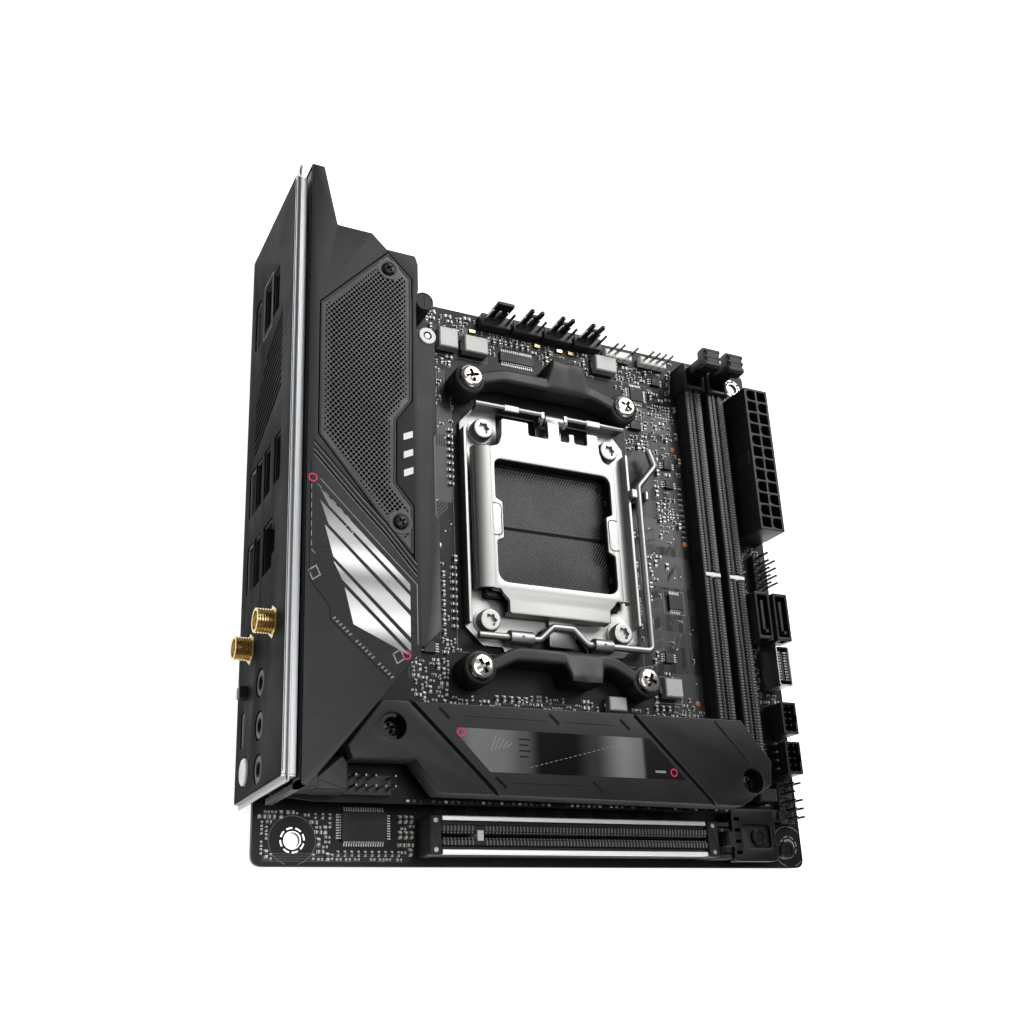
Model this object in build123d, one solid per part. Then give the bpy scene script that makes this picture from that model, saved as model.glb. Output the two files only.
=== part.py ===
from build123d import *
import os

# Mini-ITX computer motherboard with a hinged processor socket, lying flat, component side up (+Z).
# Inside the functions X runs from the rear connector edge and Y from the expansion slot edge;
# save() then moves everything so that the origin is midway between the two slot-side screw holes.

# --- Board ---
BOARD_SIDE = 170.0
BOARD_THICK = 1.6
BOARD_CORNER_R = 3.0
BOARD_HOLE_R = 1.98
REAR_HOLE_X = 10.16
FAR_HOLE_X = 165.1
INNER_HOLE_X = 33.02
FRONT_HOLE_Y = 6.35
BACK_HOLE_Y = 163.83
TOP = BOARD_THICK
UNDERSIDE = -2.8
ORIGIN_X = (REAR_HOLE_X + FAR_HOLE_X) / 2
ORIGIN_Y = FRONT_HOLE_Y

# --- Processor socket ---
SOCKET_X = 87.0
SOCKET_Y = 97.6
PACKAGE_SIDE = 41.0
HOUSING_SIDE = 45.0
COOLER_HALF_X = 27.0
COOLER_HALF_Y = 45.0
SCREW_HALF_X = 22.0
SCREW_HALF_Y = 30.2
HINGE_Y = 134.6
HINGE_Z = 5.6
HINGE_PIN_R = 1.0
PLATE_TOP = 7.9
PLATE_THICK = 1.3
LEVER_Y = 63.0
LEVER_Z = 6.0
LEVER_R = 1.1
PIN_CLEARANCE = 0.05

# --- Memory slots ---
MEMORY_XS = (143.6, 152.9)
MEMORY_WIDTH = 6.5
MEMORY_START_Y = 18.5
MEMORY_END_Y = 157.0
MEMORY_KEY_Y = 90.0
LATCH_Y = 161.0
LATCH_Z = 4.8
LATCH_PIVOT_R = 1.0

# --- Expansion slot ---
SLOT_Y = 7.1
SLOT_X0 = 43.5
SLOT_X1 = 133.0
SLOT_TOP = 11.0
SLOT_KEY_X = 57.7
SLOT_LATCH_X = 137.0
SLOT_LATCH_Z = 5.0

# --- Stacked storage card and its heatsink ---
RISER_Z = 12.0
RISER_THICK = 1.4
HEATSINK_BASE = 17.0
HEATSINK_TOP = 24.0
RISER_POSTS = ((16.0, 42.0), (120.0, 35.0))
CARD_POST = (48.0, 26.8)
CATCH_Z = 14.7
M2_SCREWS = ((28.6, 31.4), (137.0, 21.6))
M2_OUTLINE = [
    (16.9, 26.1), (26.0, 37.9), (134.9, 38.9), (144.2, 27.5), (143.2, 20.7),
    (132.3, 14.4), (40.8, 15.4), (34.4, 23.4), (18.1, 23.1),
]
LABEL_OUTLINE = [(44.0, 32.0), (103.0, 32.0), (113.8, 21.0), (54.6, 21.0)]
LABEL_RECESS = [(43.4, 32.2), (103.4, 32.2), (114.4, 20.8), (54.0, 20.8)]
LABEL_DEPTH = 0.8
CHANNEL_DEPTH = 0.9
CHANNEL_WIDTH = 1.4
CHANNELS = (((32.1, 39.3), (57.5, 14.5)), ((98.1, 39.1), (123.1, 14.5)))

# --- Rear connectors, shield and cover ---
SHIELD_X = -3.6
SHIELD_Y0 = 15.1
SHIELD_Y1 = 173.6
SHIELD_TOP = 40.4
SHIELD_SKIN = 0.4
COVER_TOP = 43.5
COVER_SKIN = 1.5
USB_Y = 148.0
USB_STACK_Y = 96.5
LAN_Y = 75.0
USB_WIDTH = 13.4
USB_HEIGHT = 5.8

USB_LEVELS = (15.6, 24.0)
STACK_LEVELS = (4.9, 11.6, 19.8, 29.2)
LAN_LEVELS = (4.9, 12.0)
LAN_Z0 = 17.4
LAN_Z1 = 28.6
JACK_YS = (41.1, 30.7, 20.3)
JACK_Z = 19.2
ANTENNAS = ((53.4, 29.4), (52.3, 8.6))
FLASH_Y = 41.8
CLEAR_Y = 21.8
BUTTON_Z = 5.4
COVER_OUTLINE = [
    (0.0, 12.9), (0.0, 176.4), (3.3, 176.4), (7.0, 159.1), (16.5, 159.1), (20.6, 155.1),
    (28.6, 155.1), (29.4, 152.8), (29.4, 145.0), (28.6, 140.0), (28.6, 45.4), (1.6, 12.9),
]
COVER_INNER = [
    (1.5, 16.0), (1.5, 174.9), (2.1, 174.9), (5.8, 157.6), (15.9, 157.6), (20.0, 153.6),
    (27.6, 153.6), (27.9, 152.4), (27.9, 145.2), (27.1, 140.2), (27.1, 46.0),
]
PANEL_THICK = 0.8
PANEL_OUTLINE = [
    (2.6, 134.8), (20.9, 154.2), (27.5, 147.6), (27.1, 111.2), (22.8, 105.0), (22.6, 87.6),
    (27.1, 82.0), (27.0, 68.6), (19.6, 76.6), (2.6, 97.6),
]
PANEL_INSET = [
    (0.2, 0.0), (0.0, -0.3), (-0.2, 0.0), (-0.2, 0.1), (-0.2, 0.1), (-0.2, -0.1),
    (-0.2, -0.1), (-0.2, 0.5), (0.0, 0.3), (0.2, 0.2),
]
PANEL_SCREWS = ((21.0, 149.0), (23.6, 77.3))
BADGE_OUTLINE = [
    (3.0, 84.6), (27.4, 61.6), (27.4, 46.0), (24.0, 42.6), (20.4, 39.4), (6.8, 51.6),
    (6.4, 54.2), (1.9, 60.2), (1.9, 82.0),
]
BADGE_THICK = 0.3

# --- Voltage regulator ---
VRM_X0 = 19.0
VRM_X1 = 41.2
VRM_Y0 = 51.6
VRM_Y1 = 143.6
VRM_TOP = 27.0
VRM_FINS = 13
VRM_FIN_PITCH = 6.6
WASHER_X = 38.6
WASHER_Y = 142.0
CHOKE_TOP = 5.0
CHOKES = (
    (52.0, 58.4, 154.6, 161.4),
    (60.6, 68.6, 154.6, 160.4),
    (107.6, 115.6, 158.0, 163.6),
    (123.4, 129.6, 49.6, 55.4),
    (103.2, 109.2, 44.2, 48.4),
)
PHASES = 9
PHASE_PITCH = 9.0
CAPACITOR_R = 3.1
CAPACITOR_TOP = 11.4
CAPACITORS = ((44.6, 164.4), (22.0, 149.6), (24.0, 48.0))

# --- Power sockets: x0, x1, y0, y1, then the columns and rows of wells ---
MAIN_POWER = (159.6, 169.2, 105.4, 157.0, 2, 12)
CPU_POWER = (20.8, 39.4, 158.6, 168.0, 4, 2)
POWER_TOP = 14.3
POWER_FLOOR = 4.0
POWER_WALL = 0.5
WELL_HALF = 1.7
BLADE_HALF = 0.5

# --- Pin headers ---
PITCH = 2.54
HEADER_PIN = 0.64
FAN_XS = (66.8, 77.9, 89.0, 100.1)
LIGHT_HEADER_XS = (112.2, 125.9)
HEADER_LENGTH = 10.2
HEADER_BASE_TOP = 4.1
PIN_TOP = 10.4


def block(x0, x1, y0, y1, z0, z1):
    """Rectangular block between two opposite corners."""
    centre = ((x0 + x1) / 2, (y0 + y1) / 2, (z0 + z1) / 2)
    return Pos(*centre) * Box(x1 - x0, y1 - y0, z1 - z0)


def post(x, y, radius, z0, z1):
    """Upright cylinder."""
    return Pos(x, y, (z0 + z1) / 2) * Cylinder(radius, z1 - z0)


def square_post(x, y, half, z0, z1):
    """Upright square bar."""
    return block(x - half, x + half, y - half, y + half, z0, z1)


def rod_x(x0, x1, y, z, radius):
    """Cylinder lying along X."""
    return Pos((x0 + x1) / 2, y, z) * Rot(0, 90, 0) * Cylinder(radius, x1 - x0)


def rod_y(x, y0, y1, z, radius):
    """Cylinder lying along Y."""
    return Pos(x, (y0 + y1) / 2, z) * Rot(90, 0, 0) * Cylinder(radius, y1 - y0)


def slab(points, z0, z1):
    """Flat plate with a polygonal outline."""
    face = make_face(Polyline(*points, close=True))
    return Pos(0, 0, z0) * extrude(face, amount=z1 - z0, dir=(0, 0, 1))


def rounded_slab(x0, x1, y0, y1, z0, z1, radius):
    """Flat plate with rounded vertical corners."""
    outline = RectangleRounded(x1 - x0, y1 - y0, radius)
    return Pos((x0 + x1) / 2, (y0 + y1) / 2, z0) * extrude(outline, amount=z1 - z0)


def corners(cx, cy, half_x, half_y):
    """The four corners of a rectangle about a centre."""
    return [(cx + sx * half_x, cy + sy * half_y) for sy in (-1, 1) for sx in (-1, 1)]


BOARD_HOLES = [
    (REAR_HOLE_X, FRONT_HOLE_Y),
    (FAR_HOLE_X, FRONT_HOLE_Y),
    (INNER_HOLE_X, BACK_HOLE_Y),
    (FAR_HOLE_X, BACK_HOLE_Y),
]
COOLER_HOLES = corners(SOCKET_X, SOCKET_Y, COOLER_HALF_X, COOLER_HALF_Y)
SOCKET_SCREWS = corners(SOCKET_X + 0.2, SOCKET_Y + 0.3, SCREW_HALF_X, SCREW_HALF_Y)


def save(node, *shapes):
    """Write one node's solids, moved into the part's own frame."""
    solids = [solid for shape in shapes for solid in shape.solids()]
    placed = Compound(solids).moved(Location((-ORIGIN_X, -ORIGIN_Y, 0)))
    export_step(placed, f"parts/{node}.step")


# --------------------------------------------------------------------------------------
# Board and the plate behind it


def circuit_board():
    board = rounded_slab(0, BOARD_SIDE, 0, BOARD_SIDE, 0, TOP, BOARD_CORNER_R)
    for x, y in BOARD_HOLES:
        board -= post(x, y, BOARD_HOLE_R, -1, TOP + 1)
    for x, y in COOLER_HOLES:
        board -= post(x, y, 2.2, -1, TOP + 1)
    for x, y in SOCKET_SCREWS:
        board -= post(x, y, 1.8, -1, TOP + 1)
    return board


def backplate():
    """Steel plate under the socket with four threaded posts for the cooler."""
    plate = rounded_slab(52.0, 122.0, 46.0, 149.2, UNDERSIDE, -0.3, 7.0)
    for x, y in COOLER_HOLES:
        plate += post(x, y, 2.0, -0.4, 6.0)
        plate -= post(x, y, 1.6, UNDERSIDE - 1, 7.0)
    for x, y in SOCKET_SCREWS:
        plate -= post(x, y, 1.6, UNDERSIDE - 1, 1.0)
    return plate


def backplate_insulator():
    """Thin film between the steel plate and the board."""
    film = rounded_slab(51.0, 123.0, 45.0, 150.2, -0.3, 0.0, 7.5)
    for x, y in COOLER_HOLES:
        film -= post(x, y, 2.3, -1, 1)
    for x, y in SOCKET_SCREWS:
        film -= post(x, y, 1.9, -1, 1)
    return film


# --------------------------------------------------------------------------------------
# Processor socket


def socket_housing():
    half = HOUSING_SIDE / 2
    cavity = PACKAGE_SIDE / 2
    body = block(SOCKET_X - half, SOCKET_X + half, SOCKET_Y - half, SOCKET_Y + half, TOP, 5.0)
    body -= block(SOCKET_X - cavity, SOCKET_X + cavity, SOCKET_Y - cavity, SOCKET_Y + cavity, 3.3, 6.0)
    return body


def socket_contacts():
    """The two halves of the contact field, with a gap across the middle."""
    half = PACKAGE_SIDE / 2 - 1.0
    fields = []
    for side in (-1, 1):
        near, far = sorted((SOCKET_Y + side * 0.5, SOCKET_Y + side * half))
        fields.append(block(SOCKET_X - half, SOCKET_X + half, near, far, 3.3, 3.8))
    return fields


def socket_base_frame():
    """Stamped frame with lever bearings at the front and the hinge at the back."""
    frame = block(58.6, 116.2, 60.8, 136.6, TOP, 2.8)
    opening = HOUSING_SIDE / 2 + 0.2
    frame -= block(SOCKET_X - opening, SOCKET_X + opening, SOCKET_Y - opening, SOCKET_Y + opening, 0, 4)
    for x, y in SOCKET_SCREWS:
        frame -= post(x, y, 1.7, 0, 4)
    # Side walls
    frame += block(58.6, 59.6, 66.0, 126.0, 2.8, 5.6)
    frame += block(115.2, 116.2, 70.5, 126.0, 2.8, 5.6)
    # Lever bearings, bored right through
    for x0, x1 in ((70.6, 78.0), (98.2, 104.4)):
        bearing = block(x0, x1, LEVER_Y - 2.1, LEVER_Y + 2.1, 2.8, LEVER_Z)
        bearing += rod_x(x0, x1, LEVER_Y, LEVER_Z, 2.1)
        frame += bearing
    frame -= rod_x(60, 120, LEVER_Y, LEVER_Z, LEVER_R + PIN_CLEARANCE)
    # Hinge uprights, cheeks and pin
    for x0, x1 in ((62.4, 85.7), (92.7, 114.3)):
        frame += block(x0, x1, 135.6, 136.6, 2.8, 7.4)
    for x0, x1 in ((84.7, 85.7), (92.7, 93.7)):
        frame += block(x0, x1, 132.8, 136.6, 2.8, 7.4)
    frame += rod_x(85.0, 93.4, HINGE_Y, HINGE_Z, HINGE_PIN_R)
    # Snap cradle that holds the lever's arm down
    frame += block(116.2, 121.6, 112.4, 115.4, 2.8, 4.2)
    frame += block(115.2, 117.4, 112.4, 115.4, 2.8, 7.8)
    frame += block(120.4, 121.6, 112.4, 115.4, 4.2, 7.6)
    return frame


def socket_screws():
    """Four star-drive screws that clamp the frame to the back plate."""
    screws = []
    for x, y in SOCKET_SCREWS:
        screw = post(x, y, 3.5, 2.8, 6.2) + post(x, y, 1.5, -2.0, 2.8)
        star = Pos(x, y, 4.6) * extrude(RegularPolygon(1.7, 6), amount=2.0)
        screws.append(chamfer(screw.edges().group_by(Axis.Z)[-1], 0.5) - star)
    return screws


def load_plate():
    """Hinged pressure plate with the processor window."""
    outline = [
        (61.0, 76.5), (70.4, 76.5), (70.4, 69.6), (104.0, 69.6), (104.0, 76.5), (112.4, 76.5),
        (112.4, 123.6), (104.2, 123.6), (104.2, 131.6), (70.2, 131.6), (70.2, 122.2), (61.0, 122.2),
    ]
    plate = slab(outline, PLATE_TOP - PLATE_THICK, PLATE_TOP)
    for x, y in SOCKET_SCREWS:
        plate -= post(x, y, 4.4, 5.0, 9.0)
    window = rounded_slab(67.5, 107.3, 79.0, 117.8, 5.0, 9.0, 3.2)
    window -= block(66.0, 69.8, 92.0, 104.2, 4.0, 10.0)
    window -= block(104.8, 109.0, 92.0, 104.2, 4.0, 10.0)
    plate -= window
    # Turned-down edges
    plate += block(61.0, 62.2, 76.5, 122.2, 4.4, PLATE_TOP - PLATE_THICK)
    plate += block(111.2, 112.4, 76.5, 123.6, 4.4, PLATE_TOP - PLATE_THICK)
    plate += block(70.4, 104.0, 69.6, 70.8, 4.2, PLATE_TOP - PLATE_THICK)
    # Nose held down by the lever's cranked part
    plate += block(84.6, 93.4, 61.6, 70.8, 3.2, 4.4)
    # Hinge arm and barrel
    plate += block(86.0, 92.4, 131.0, HINGE_Y, PLATE_TOP - PLATE_THICK, 7.5)
    plate += rod_x(86.0, 92.4, HINGE_Y, HINGE_Z, 1.9)
    plate -= rod_x(85.0, 93.4, HINGE_Y, HINGE_Z, HINGE_PIN_R + PIN_CLEARANCE)
    return plate


def socket_lever():
    """Bent wire: straight journals, a cranked middle, and a long arm with a finger hook."""
    route = FilletPolyline(
        (61.2, LEVER_Y, LEVER_Z),
        (80.4, LEVER_Y, LEVER_Z),
        (85.0, 67.3, LEVER_Z),
        (91.8, 67.3, LEVER_Z),
        (96.4, LEVER_Y, LEVER_Z),
        (118.8, LEVER_Y, LEVER_Z),
        (118.8, 117.0, LEVER_Z),
        (125.8, 125.3, LEVER_Z),
        (123.8, 130.7, LEVER_Z),
        radius=1.6,
    )
    return sweep(Plane(origin=route @ 0, z_dir=route % 0) * Circle(LEVER_R), path=route)


def cooler_bracket(row_y, lug_near, lug_far):
    """Plastic bar between two cooler posts, with a hooked lug; row_y is the line of its posts."""
    left_x, right_x = SOCKET_X - COOLER_HALF_X, SOCKET_X + COOLER_HALF_X
    bow = 3.6
    near_edge = ThreePointArc((left_x, row_y - 1.6), (SOCKET_X, row_y - 1.6 + bow), (right_x, row_y - 1.6))
    far_edge = ThreePointArc((left_x, row_y + 2.6), (SOCKET_X, row_y + 2.6 + bow), (right_x, row_y + 2.6))
    ends = [Line(near_edge @ end, far_edge @ end) for end in (0, 1)]
    bar = Pos(0, 0, 2.4) * extrude(make_face([near_edge, far_edge, *ends]), amount=7.2, dir=(0, 0, 1))
    bar += block(88.4, 97.2, lug_near, lug_far, 2.4, 11.4)
    for x in (left_x, right_x):
        bar += post(x, row_y, 5.2, TOP, 9.6)
        bar -= post(x, row_y, 2.15, 0, 6.3)
        bar -= post(x, row_y, 1.7, 0, 12)
    return bar


def bracket_screws():
    """Four cross-drive screws with domed heads."""
    screws = []
    for x, y in COOLER_HOLES:
        head = post(x, y, 4.0, 9.6, 10.4)
        head += post(x, y, 3.1, 10.4, 11.2)
        shank = post(x, y, 1.5, -1.0, 9.6)
        cross = block(x - 1.9, x + 1.9, y - 0.45, y + 0.45, 10.2, 12)
        cross += block(x - 0.45, x + 0.45, y - 1.9, y + 1.9, 10.2, 12)
        screws.append(head + shank - cross)
    return screws


# --------------------------------------------------------------------------------------
# Memory slots


def memory_slot(centre_x):
    """Slot housing with a card groove, a fixed end and the cheeks that carry the latch."""
    half = MEMORY_WIDTH / 2
    body = block(centre_x - half, centre_x + half, MEMORY_START_Y, MEMORY_END_Y, TOP, 7.4)
    body -= block(centre_x - 0.8, centre_x + 0.8, MEMORY_START_Y + 5, MEMORY_END_Y + 1, 3.4, 9)
    body += block(centre_x - half, centre_x + half, MEMORY_START_Y, MEMORY_START_Y + 3.5, 7.4, 10.4)
    for side in (-1, 1):
        inner, outer = sorted((centre_x + side * 2.9, centre_x + side * 4.1))
        body += block(inner, outer, MEMORY_END_Y - 1.0, 165.0, TOP, 9.0)
    body -= rod_x(centre_x - 5, centre_x + 5, LATCH_Y, LATCH_Z, LATCH_PIVOT_R + PIN_CLEARANCE)
    return body


def memory_key(centre_x):
    """Moulded key that fills the groove opposite the notch in a memory card."""
    return block(centre_x - 0.8, centre_x + 0.8, MEMORY_KEY_Y - 0.8, MEMORY_KEY_Y + 0.8, 3.4, 7.6)


def memory_latch(centre_x):
    """Latch that swings outward on two stub pivots."""
    tower = rod_x(centre_x - 2.6, centre_x + 2.6, LATCH_Y, LATCH_Z, 2.6)
    tower += block(centre_x - 2.6, centre_x + 2.6, 159.6, 163.4, LATCH_Z, 17.0)
    tower += block(centre_x - 3.6, centre_x + 3.6, 158.4, 165.6, 15.4, 20.0)
    for level in range(3):
        ridge_y = 159.6 + 2.0 * level
        tower -= block(centre_x - 4, centre_x + 4, ridge_y, ridge_y + 0.8, 19.4, 21)
    tower += rod_x(centre_x - 4.0, centre_x + 4.0, LATCH_Y, LATCH_Z, LATCH_PIVOT_R)
    return tower


# --------------------------------------------------------------------------------------
# Power connectors


def well_centres(x0, x1, y0, y1, columns, rows):
    """Centres of a power socket's wells."""
    step_x = (x1 - x0 - 2 * POWER_WALL) / columns
    step_y = (y1 - y0 - 2 * POWER_WALL) / rows
    centres = []
    for column in range(columns):
        for row in range(rows):
            x = x0 + POWER_WALL + step_x * (column + 0.5)
            y = y0 + POWER_WALL + step_y * (row + 0.5)
            centres.append((x, y))
    return centres


def power_socket(x0, x1, y0, y1, columns, rows):
    """Tall housing with a grid of square wells."""
    body = block(x0, x1, y0, y1, TOP, POWER_TOP)
    for x, y in well_centres(x0, x1, y0, y1, columns, rows):
        body -= square_post(x, y, WELL_HALF, POWER_FLOOR, POWER_TOP + 1)
    return body


def power_pins(x0, x1, y0, y1, columns, rows):
    """Square pins standing in the wells of a power socket."""
    centres = well_centres(x0, x1, y0, y1, columns, rows)
    return [square_post(x, y, BLADE_HALF, POWER_FLOOR, 11.0) for x, y in centres]


# --------------------------------------------------------------------------------------
# Pin headers


def pin_row(x, y, count, step_x, step_y, z0, z1):
    """A line of square header pins."""
    half = HEADER_PIN / 2
    line = []
    for index in range(count):
        px, py = x + index * step_x, y + index * step_y
        line.append(square_post(px, py, half, z0, z1))
    return line


def fan_headers():
    """Four headers along the far edge, each a base with an upright friction wall."""
    bodies = []
    for x0 in FAN_XS:
        body = block(x0, x0 + HEADER_LENGTH, 165.4, 169.8, TOP, 4.8)
        body += block(x0 + 2.6, x0 + 7.6, 168.8, 169.8, 4.8, 12.4)
        bodies.append(body)
    return bodies


def light_headers():
    """Two pale lighting headers beside the fan headers."""
    return [block(x0, x0 + HEADER_LENGTH, 164.4, 167.2, TOP, 4.2) for x0 in LIGHT_HEADER_XS]


def header_pins():
    """All bare header pins on the board, standing on their bases."""
    pins = []
    for x0 in FAN_XS:
        pins += pin_row(x0 + 1.3, 167.4, 4, PITCH, 0, 4.8, 10.6)
    for x0 in LIGHT_HEADER_XS:
        pins += pin_row(x0 + 1.3, 165.8, 4, PITCH, 0, 4.2, PIN_TOP)
    for x in (164.3, 166.84):
        pins += pin_row(x, 88.9, 5, 0, PITCH, HEADER_BASE_TOP, PIN_TOP)
    for x in (162.9, 165.44):
        pins += pin_row(x, 14.1, 5, 0, PITCH, HEADER_BASE_TOP, PIN_TOP)
    pins += pin_row(158.1, 28.4, 4, 0, PITCH, HEADER_BASE_TOP, PIN_TOP)
    return pins


def header_bases():
    """Low plastic bases of the open pin headers."""
    return [
        block(163.0, 168.1, 87.6, 100.4, TOP, HEADER_BASE_TOP),
        block(161.6, 166.7, 12.8, 25.6, TOP, HEADER_BASE_TOP),
        block(156.8, 159.4, 27.1, 37.3, TOP, HEADER_BASE_TOP),
    ]


def shrouded_header(x0, y0):
    """Small boxed header with ten pins inside."""
    body = block(x0, x0 + 5.7, y0, y0 + 10.0, TOP, 10.0)
    body -= block(x0 + 0.7, x0 + 5.0, y0 + 0.7, y0 + 9.3, 3.6, 11)
    for column in range(2):
        for pin in pin_row(x0 + 1.85 + 2.0 * column, y0 + 1.0, 5, 0, 2.0, 3.0, 9.2):
            body += pin
    return body


def sata_connector(x0, y0):
    """Upright drive connector: an open shroud around a keyed tongue."""
    body = block(x0, x0 + 5.7, y0, y0 + 15.8, TOP, 10.2)
    body -= block(x0 + 0.9, x0 + 4.8, y0 + 1.2, y0 + 14.6, 4.0, 11)
    body += block(x0 + 2.2, x0 + 3.4, y0 + 2.6, y0 + 13.2, 3.5, 9.6)
    return body


def front_usb_connector():
    """Metal-shelled front panel socket with a central tongue."""
    shell = block(162.5, 167.6, 54.6, 67.4, TOP, 10.4)
    shell -= block(163.0, 167.1, 55.1, 66.9, 2.6, 11)
    shell += block(164.5, 165.6, 56.2, 65.8, 2.0, 9.6)
    return shell


# --------------------------------------------------------------------------------------
# Expansion slot


def expansion_slot():
    body = block(SLOT_X0, SLOT_X1, 1.9, 12.4, TOP, SLOT_TOP - 0.6)
    body -= block(46.7, 129.4, SLOT_Y - 0.9, SLOT_Y + 0.9, 3.2, 12)
    # Ears that carry the latch pivot
    for y0 in (1.9, 11.0):
        body += block(SLOT_X1 - 1, 139.4, y0, y0 + 1.4, TOP, 7.4)
    body -= rod_y(SLOT_LATCH_X, 0, 14, SLOT_LATCH_Z, LATCH_PIVOT_R + PIN_CLEARANCE)
    return body


def slot_rails():
    """Two steel strips that reinforce the slot's top edges."""
    return [block(46.7, 128.4, y - 0.75, y + 0.75, SLOT_TOP - 0.6, SLOT_TOP) for y in (2.9, 11.3)]


def slot_key():
    """Moulded key across the groove."""
    return block(SLOT_KEY_X - 0.8, SLOT_KEY_X + 0.8, SLOT_Y - 0.9, SLOT_Y + 0.9, 3.2, SLOT_TOP - 0.8)


def slot_latch():
    """Forked lever at the slot's end: pressing its far end down frees the card."""
    latch = rod_y(SLOT_LATCH_X, 3.6, 10.7, SLOT_LATCH_Z, 2.2)
    latch += rod_y(SLOT_LATCH_X, 2.0, 12.3, SLOT_LATCH_Z, LATCH_PIVOT_R)
    latch += block(134.4, 137.6, 4.8, 9.4, SLOT_LATCH_Z, 12.6)
    latch += block(137.0, 142.0, 3.6, 10.7, 5.6, 7.2)
    latch += block(139.8, 155.4, 1.2, 16.4, 5.6, 7.2)
    latch += block(153.4, 155.4, 1.2, 16.4, 7.2, 8.2)
    latch += block(139.8, 154.0, 1.2, 5.4, 7.2, 8.2)
    latch += block(139.8, 154.0, 11.4, 16.4, 7.2, 8.2)
    latch += block(155.0, 159.4, 2.6, 6.4, 5.6, 7.2)
    latch += block(155.0, 159.4, 13.0, 16.4, 5.6, 7.2)
    latch += post(159.4, 4.6, 2.6, 5.6, 8.2)
    latch += post(159.3, 14.7, 2.1, 5.6, 8.2)
    return latch


# --------------------------------------------------------------------------------------
# Stacked storage card


def riser_board():
    """Daughterboard above the main board; it also carries the audio jacks and header."""
    outline = [(0.4, 15.6), (12.0, 14.3), (136.0, 14.3), (136.0, 39.0), (20.0, 39.0), (20.0, 46.5), (0.4, 46.5)]
    card = slab(outline, RISER_Z, RISER_Z + RISER_THICK)
    for x, y in RISER_POSTS:
        card -= post(x, y, 1.3, RISER_Z - 1, RISER_Z + 3)
    return card


def riser_standoffs():
    """Posts that hold the daughterboard up."""
    return [post(x, y, 2.6, TOP, RISER_Z) + post(x, y, 1.1, RISER_Z, RISER_Z + 2.2) for x, y in RISER_POSTS]


def riser_connector():
    """Board-to-board connector under the daughterboard."""
    return block(84.0, 112.0, 15.6, 21.6, TOP, RISER_Z)


def m2_connector():
    """Edge connector for a storage card."""
    body = block(126.0, 134.0, 15.8, 37.8, RISER_Z + RISER_THICK, 16.8)
    body -= block(125.0, 131.0, 16.8, 36.8, 15.0, 16.1)
    return body


def m2_standoff():
    return post(*CARD_POST, 2.4, RISER_Z + RISER_THICK, CATCH_Z - 0.1)


def m2_latch():
    """Quarter-turn catch on the standoff that pins a storage card down."""
    catch = post(*CARD_POST, 1.9, CATCH_Z, 16.2)
    catch += block(46.2, 51.6, 26.0, 27.6, 15.4, 16.2)
    return catch


def m2_thermal_pad():
    return block(56.0, 118.0, 16.6, 37.4, 16.2, HEATSINK_BASE)


def m2_heatsink():
    """Angular aluminium block over the storage card."""
    body = slab(M2_OUTLINE, HEATSINK_BASE, HEATSINK_TOP)
    body -= slab(LABEL_RECESS, HEATSINK_TOP - LABEL_DEPTH, HEATSINK_TOP + 1)
    half = CHANNEL_WIDTH / 2
    for (x0, y0), (x1, y1) in CHANNELS:
        channel = [(x0 - half, y0), (x0 + half, y0), (x1 + half, y1), (x1 - half, y1)]
        body -= slab(channel, HEATSINK_TOP - CHANNEL_DEPTH, HEATSINK_TOP + 1)
    for x, y in M2_SCREWS:
        body -= post(x, y, 3.4, HEATSINK_TOP - 4.0, 26)
        body -= post(x, y, 1.6, HEATSINK_BASE - 1, 26)
    return body


def m2_screws():
    """Two captive screws of the heatsink."""
    screws = []
    for x, y in M2_SCREWS:
        screw = post(x, y, 2.7, HEATSINK_TOP - 4.0, HEATSINK_TOP - 2.0) + post(x, y, 1.5, 13.6, HEATSINK_TOP - 4.0)
        screws.append(screw - block(x - 1.5, x + 1.5, y - 0.4, y + 0.4, HEATSINK_TOP - 2.8, 26))
    return screws


def m2_badge_plate():
    """Glossy inset strip on the heatsink."""
    return slab(LABEL_OUTLINE, HEATSINK_TOP - LABEL_DEPTH, HEATSINK_TOP)


def riser_shield():
    """Black cover on the daughterboard between the audio jacks and the audio header."""
    outline = [(9.8, 15.6), (18.2, 15.6), (18.2, 22.6), (16.6, 24.6), (9.8, 18.6)]
    return slab(outline, RISER_Z + RISER_THICK, 21.0)


def audio_header():
    """Two rows of pins with one position left out."""
    base = block(18.6, 31.2, 15.9, 20.9, RISER_Z + RISER_THICK, 15.9)
    pins = pin_row(19.8, 17.1, 5, PITCH, 0, 15.9, 22.0)
    pins += pin_row(19.8, 19.6, 3, PITCH, 0, 15.9, 22.0)
    pins += pin_row(19.8 + 4 * PITCH, 19.6, 1, PITCH, 0, 15.9, 22.0)
    return [base, *pins]


# --------------------------------------------------------------------------------------
# Chips and small components


def chipset():
    return block(64.0, 84.0, 20.0, 36.0, TOP, 3.6)


def chipset_heatsink():
    body = block(56.0, 82.8, 16.0, 38.0, 3.6, 10.8)
    for index in range(6):
        x = 58.4 + 4.2 * index
        body -= block(x, x + 1.4, 15, 39, 5.4, 12)
    return body


def chokes():
    """Square inductors of the voltage regulator."""
    return [block(x0, x1, y0, y1, TOP, CHOKE_TOP) for x0, x1, y0, y1 in CHOKES]


def mosfets():
    """Power stages under the regulator heatsink."""
    starts = [60.0 + PHASE_PITCH * index for index in range(PHASES)]
    return [block(28.0, 33.0, y, y + 6.0, TOP, 2.6) for y in starts]


def hidden_chokes():
    """Inductors beneath the regulator heatsink's step."""
    starts = [59.4 + PHASE_PITCH * index for index in range(PHASES)]
    return [block(34.4, 41.0, y, y + 7.0, TOP, 6.4) for y in starts]


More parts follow.
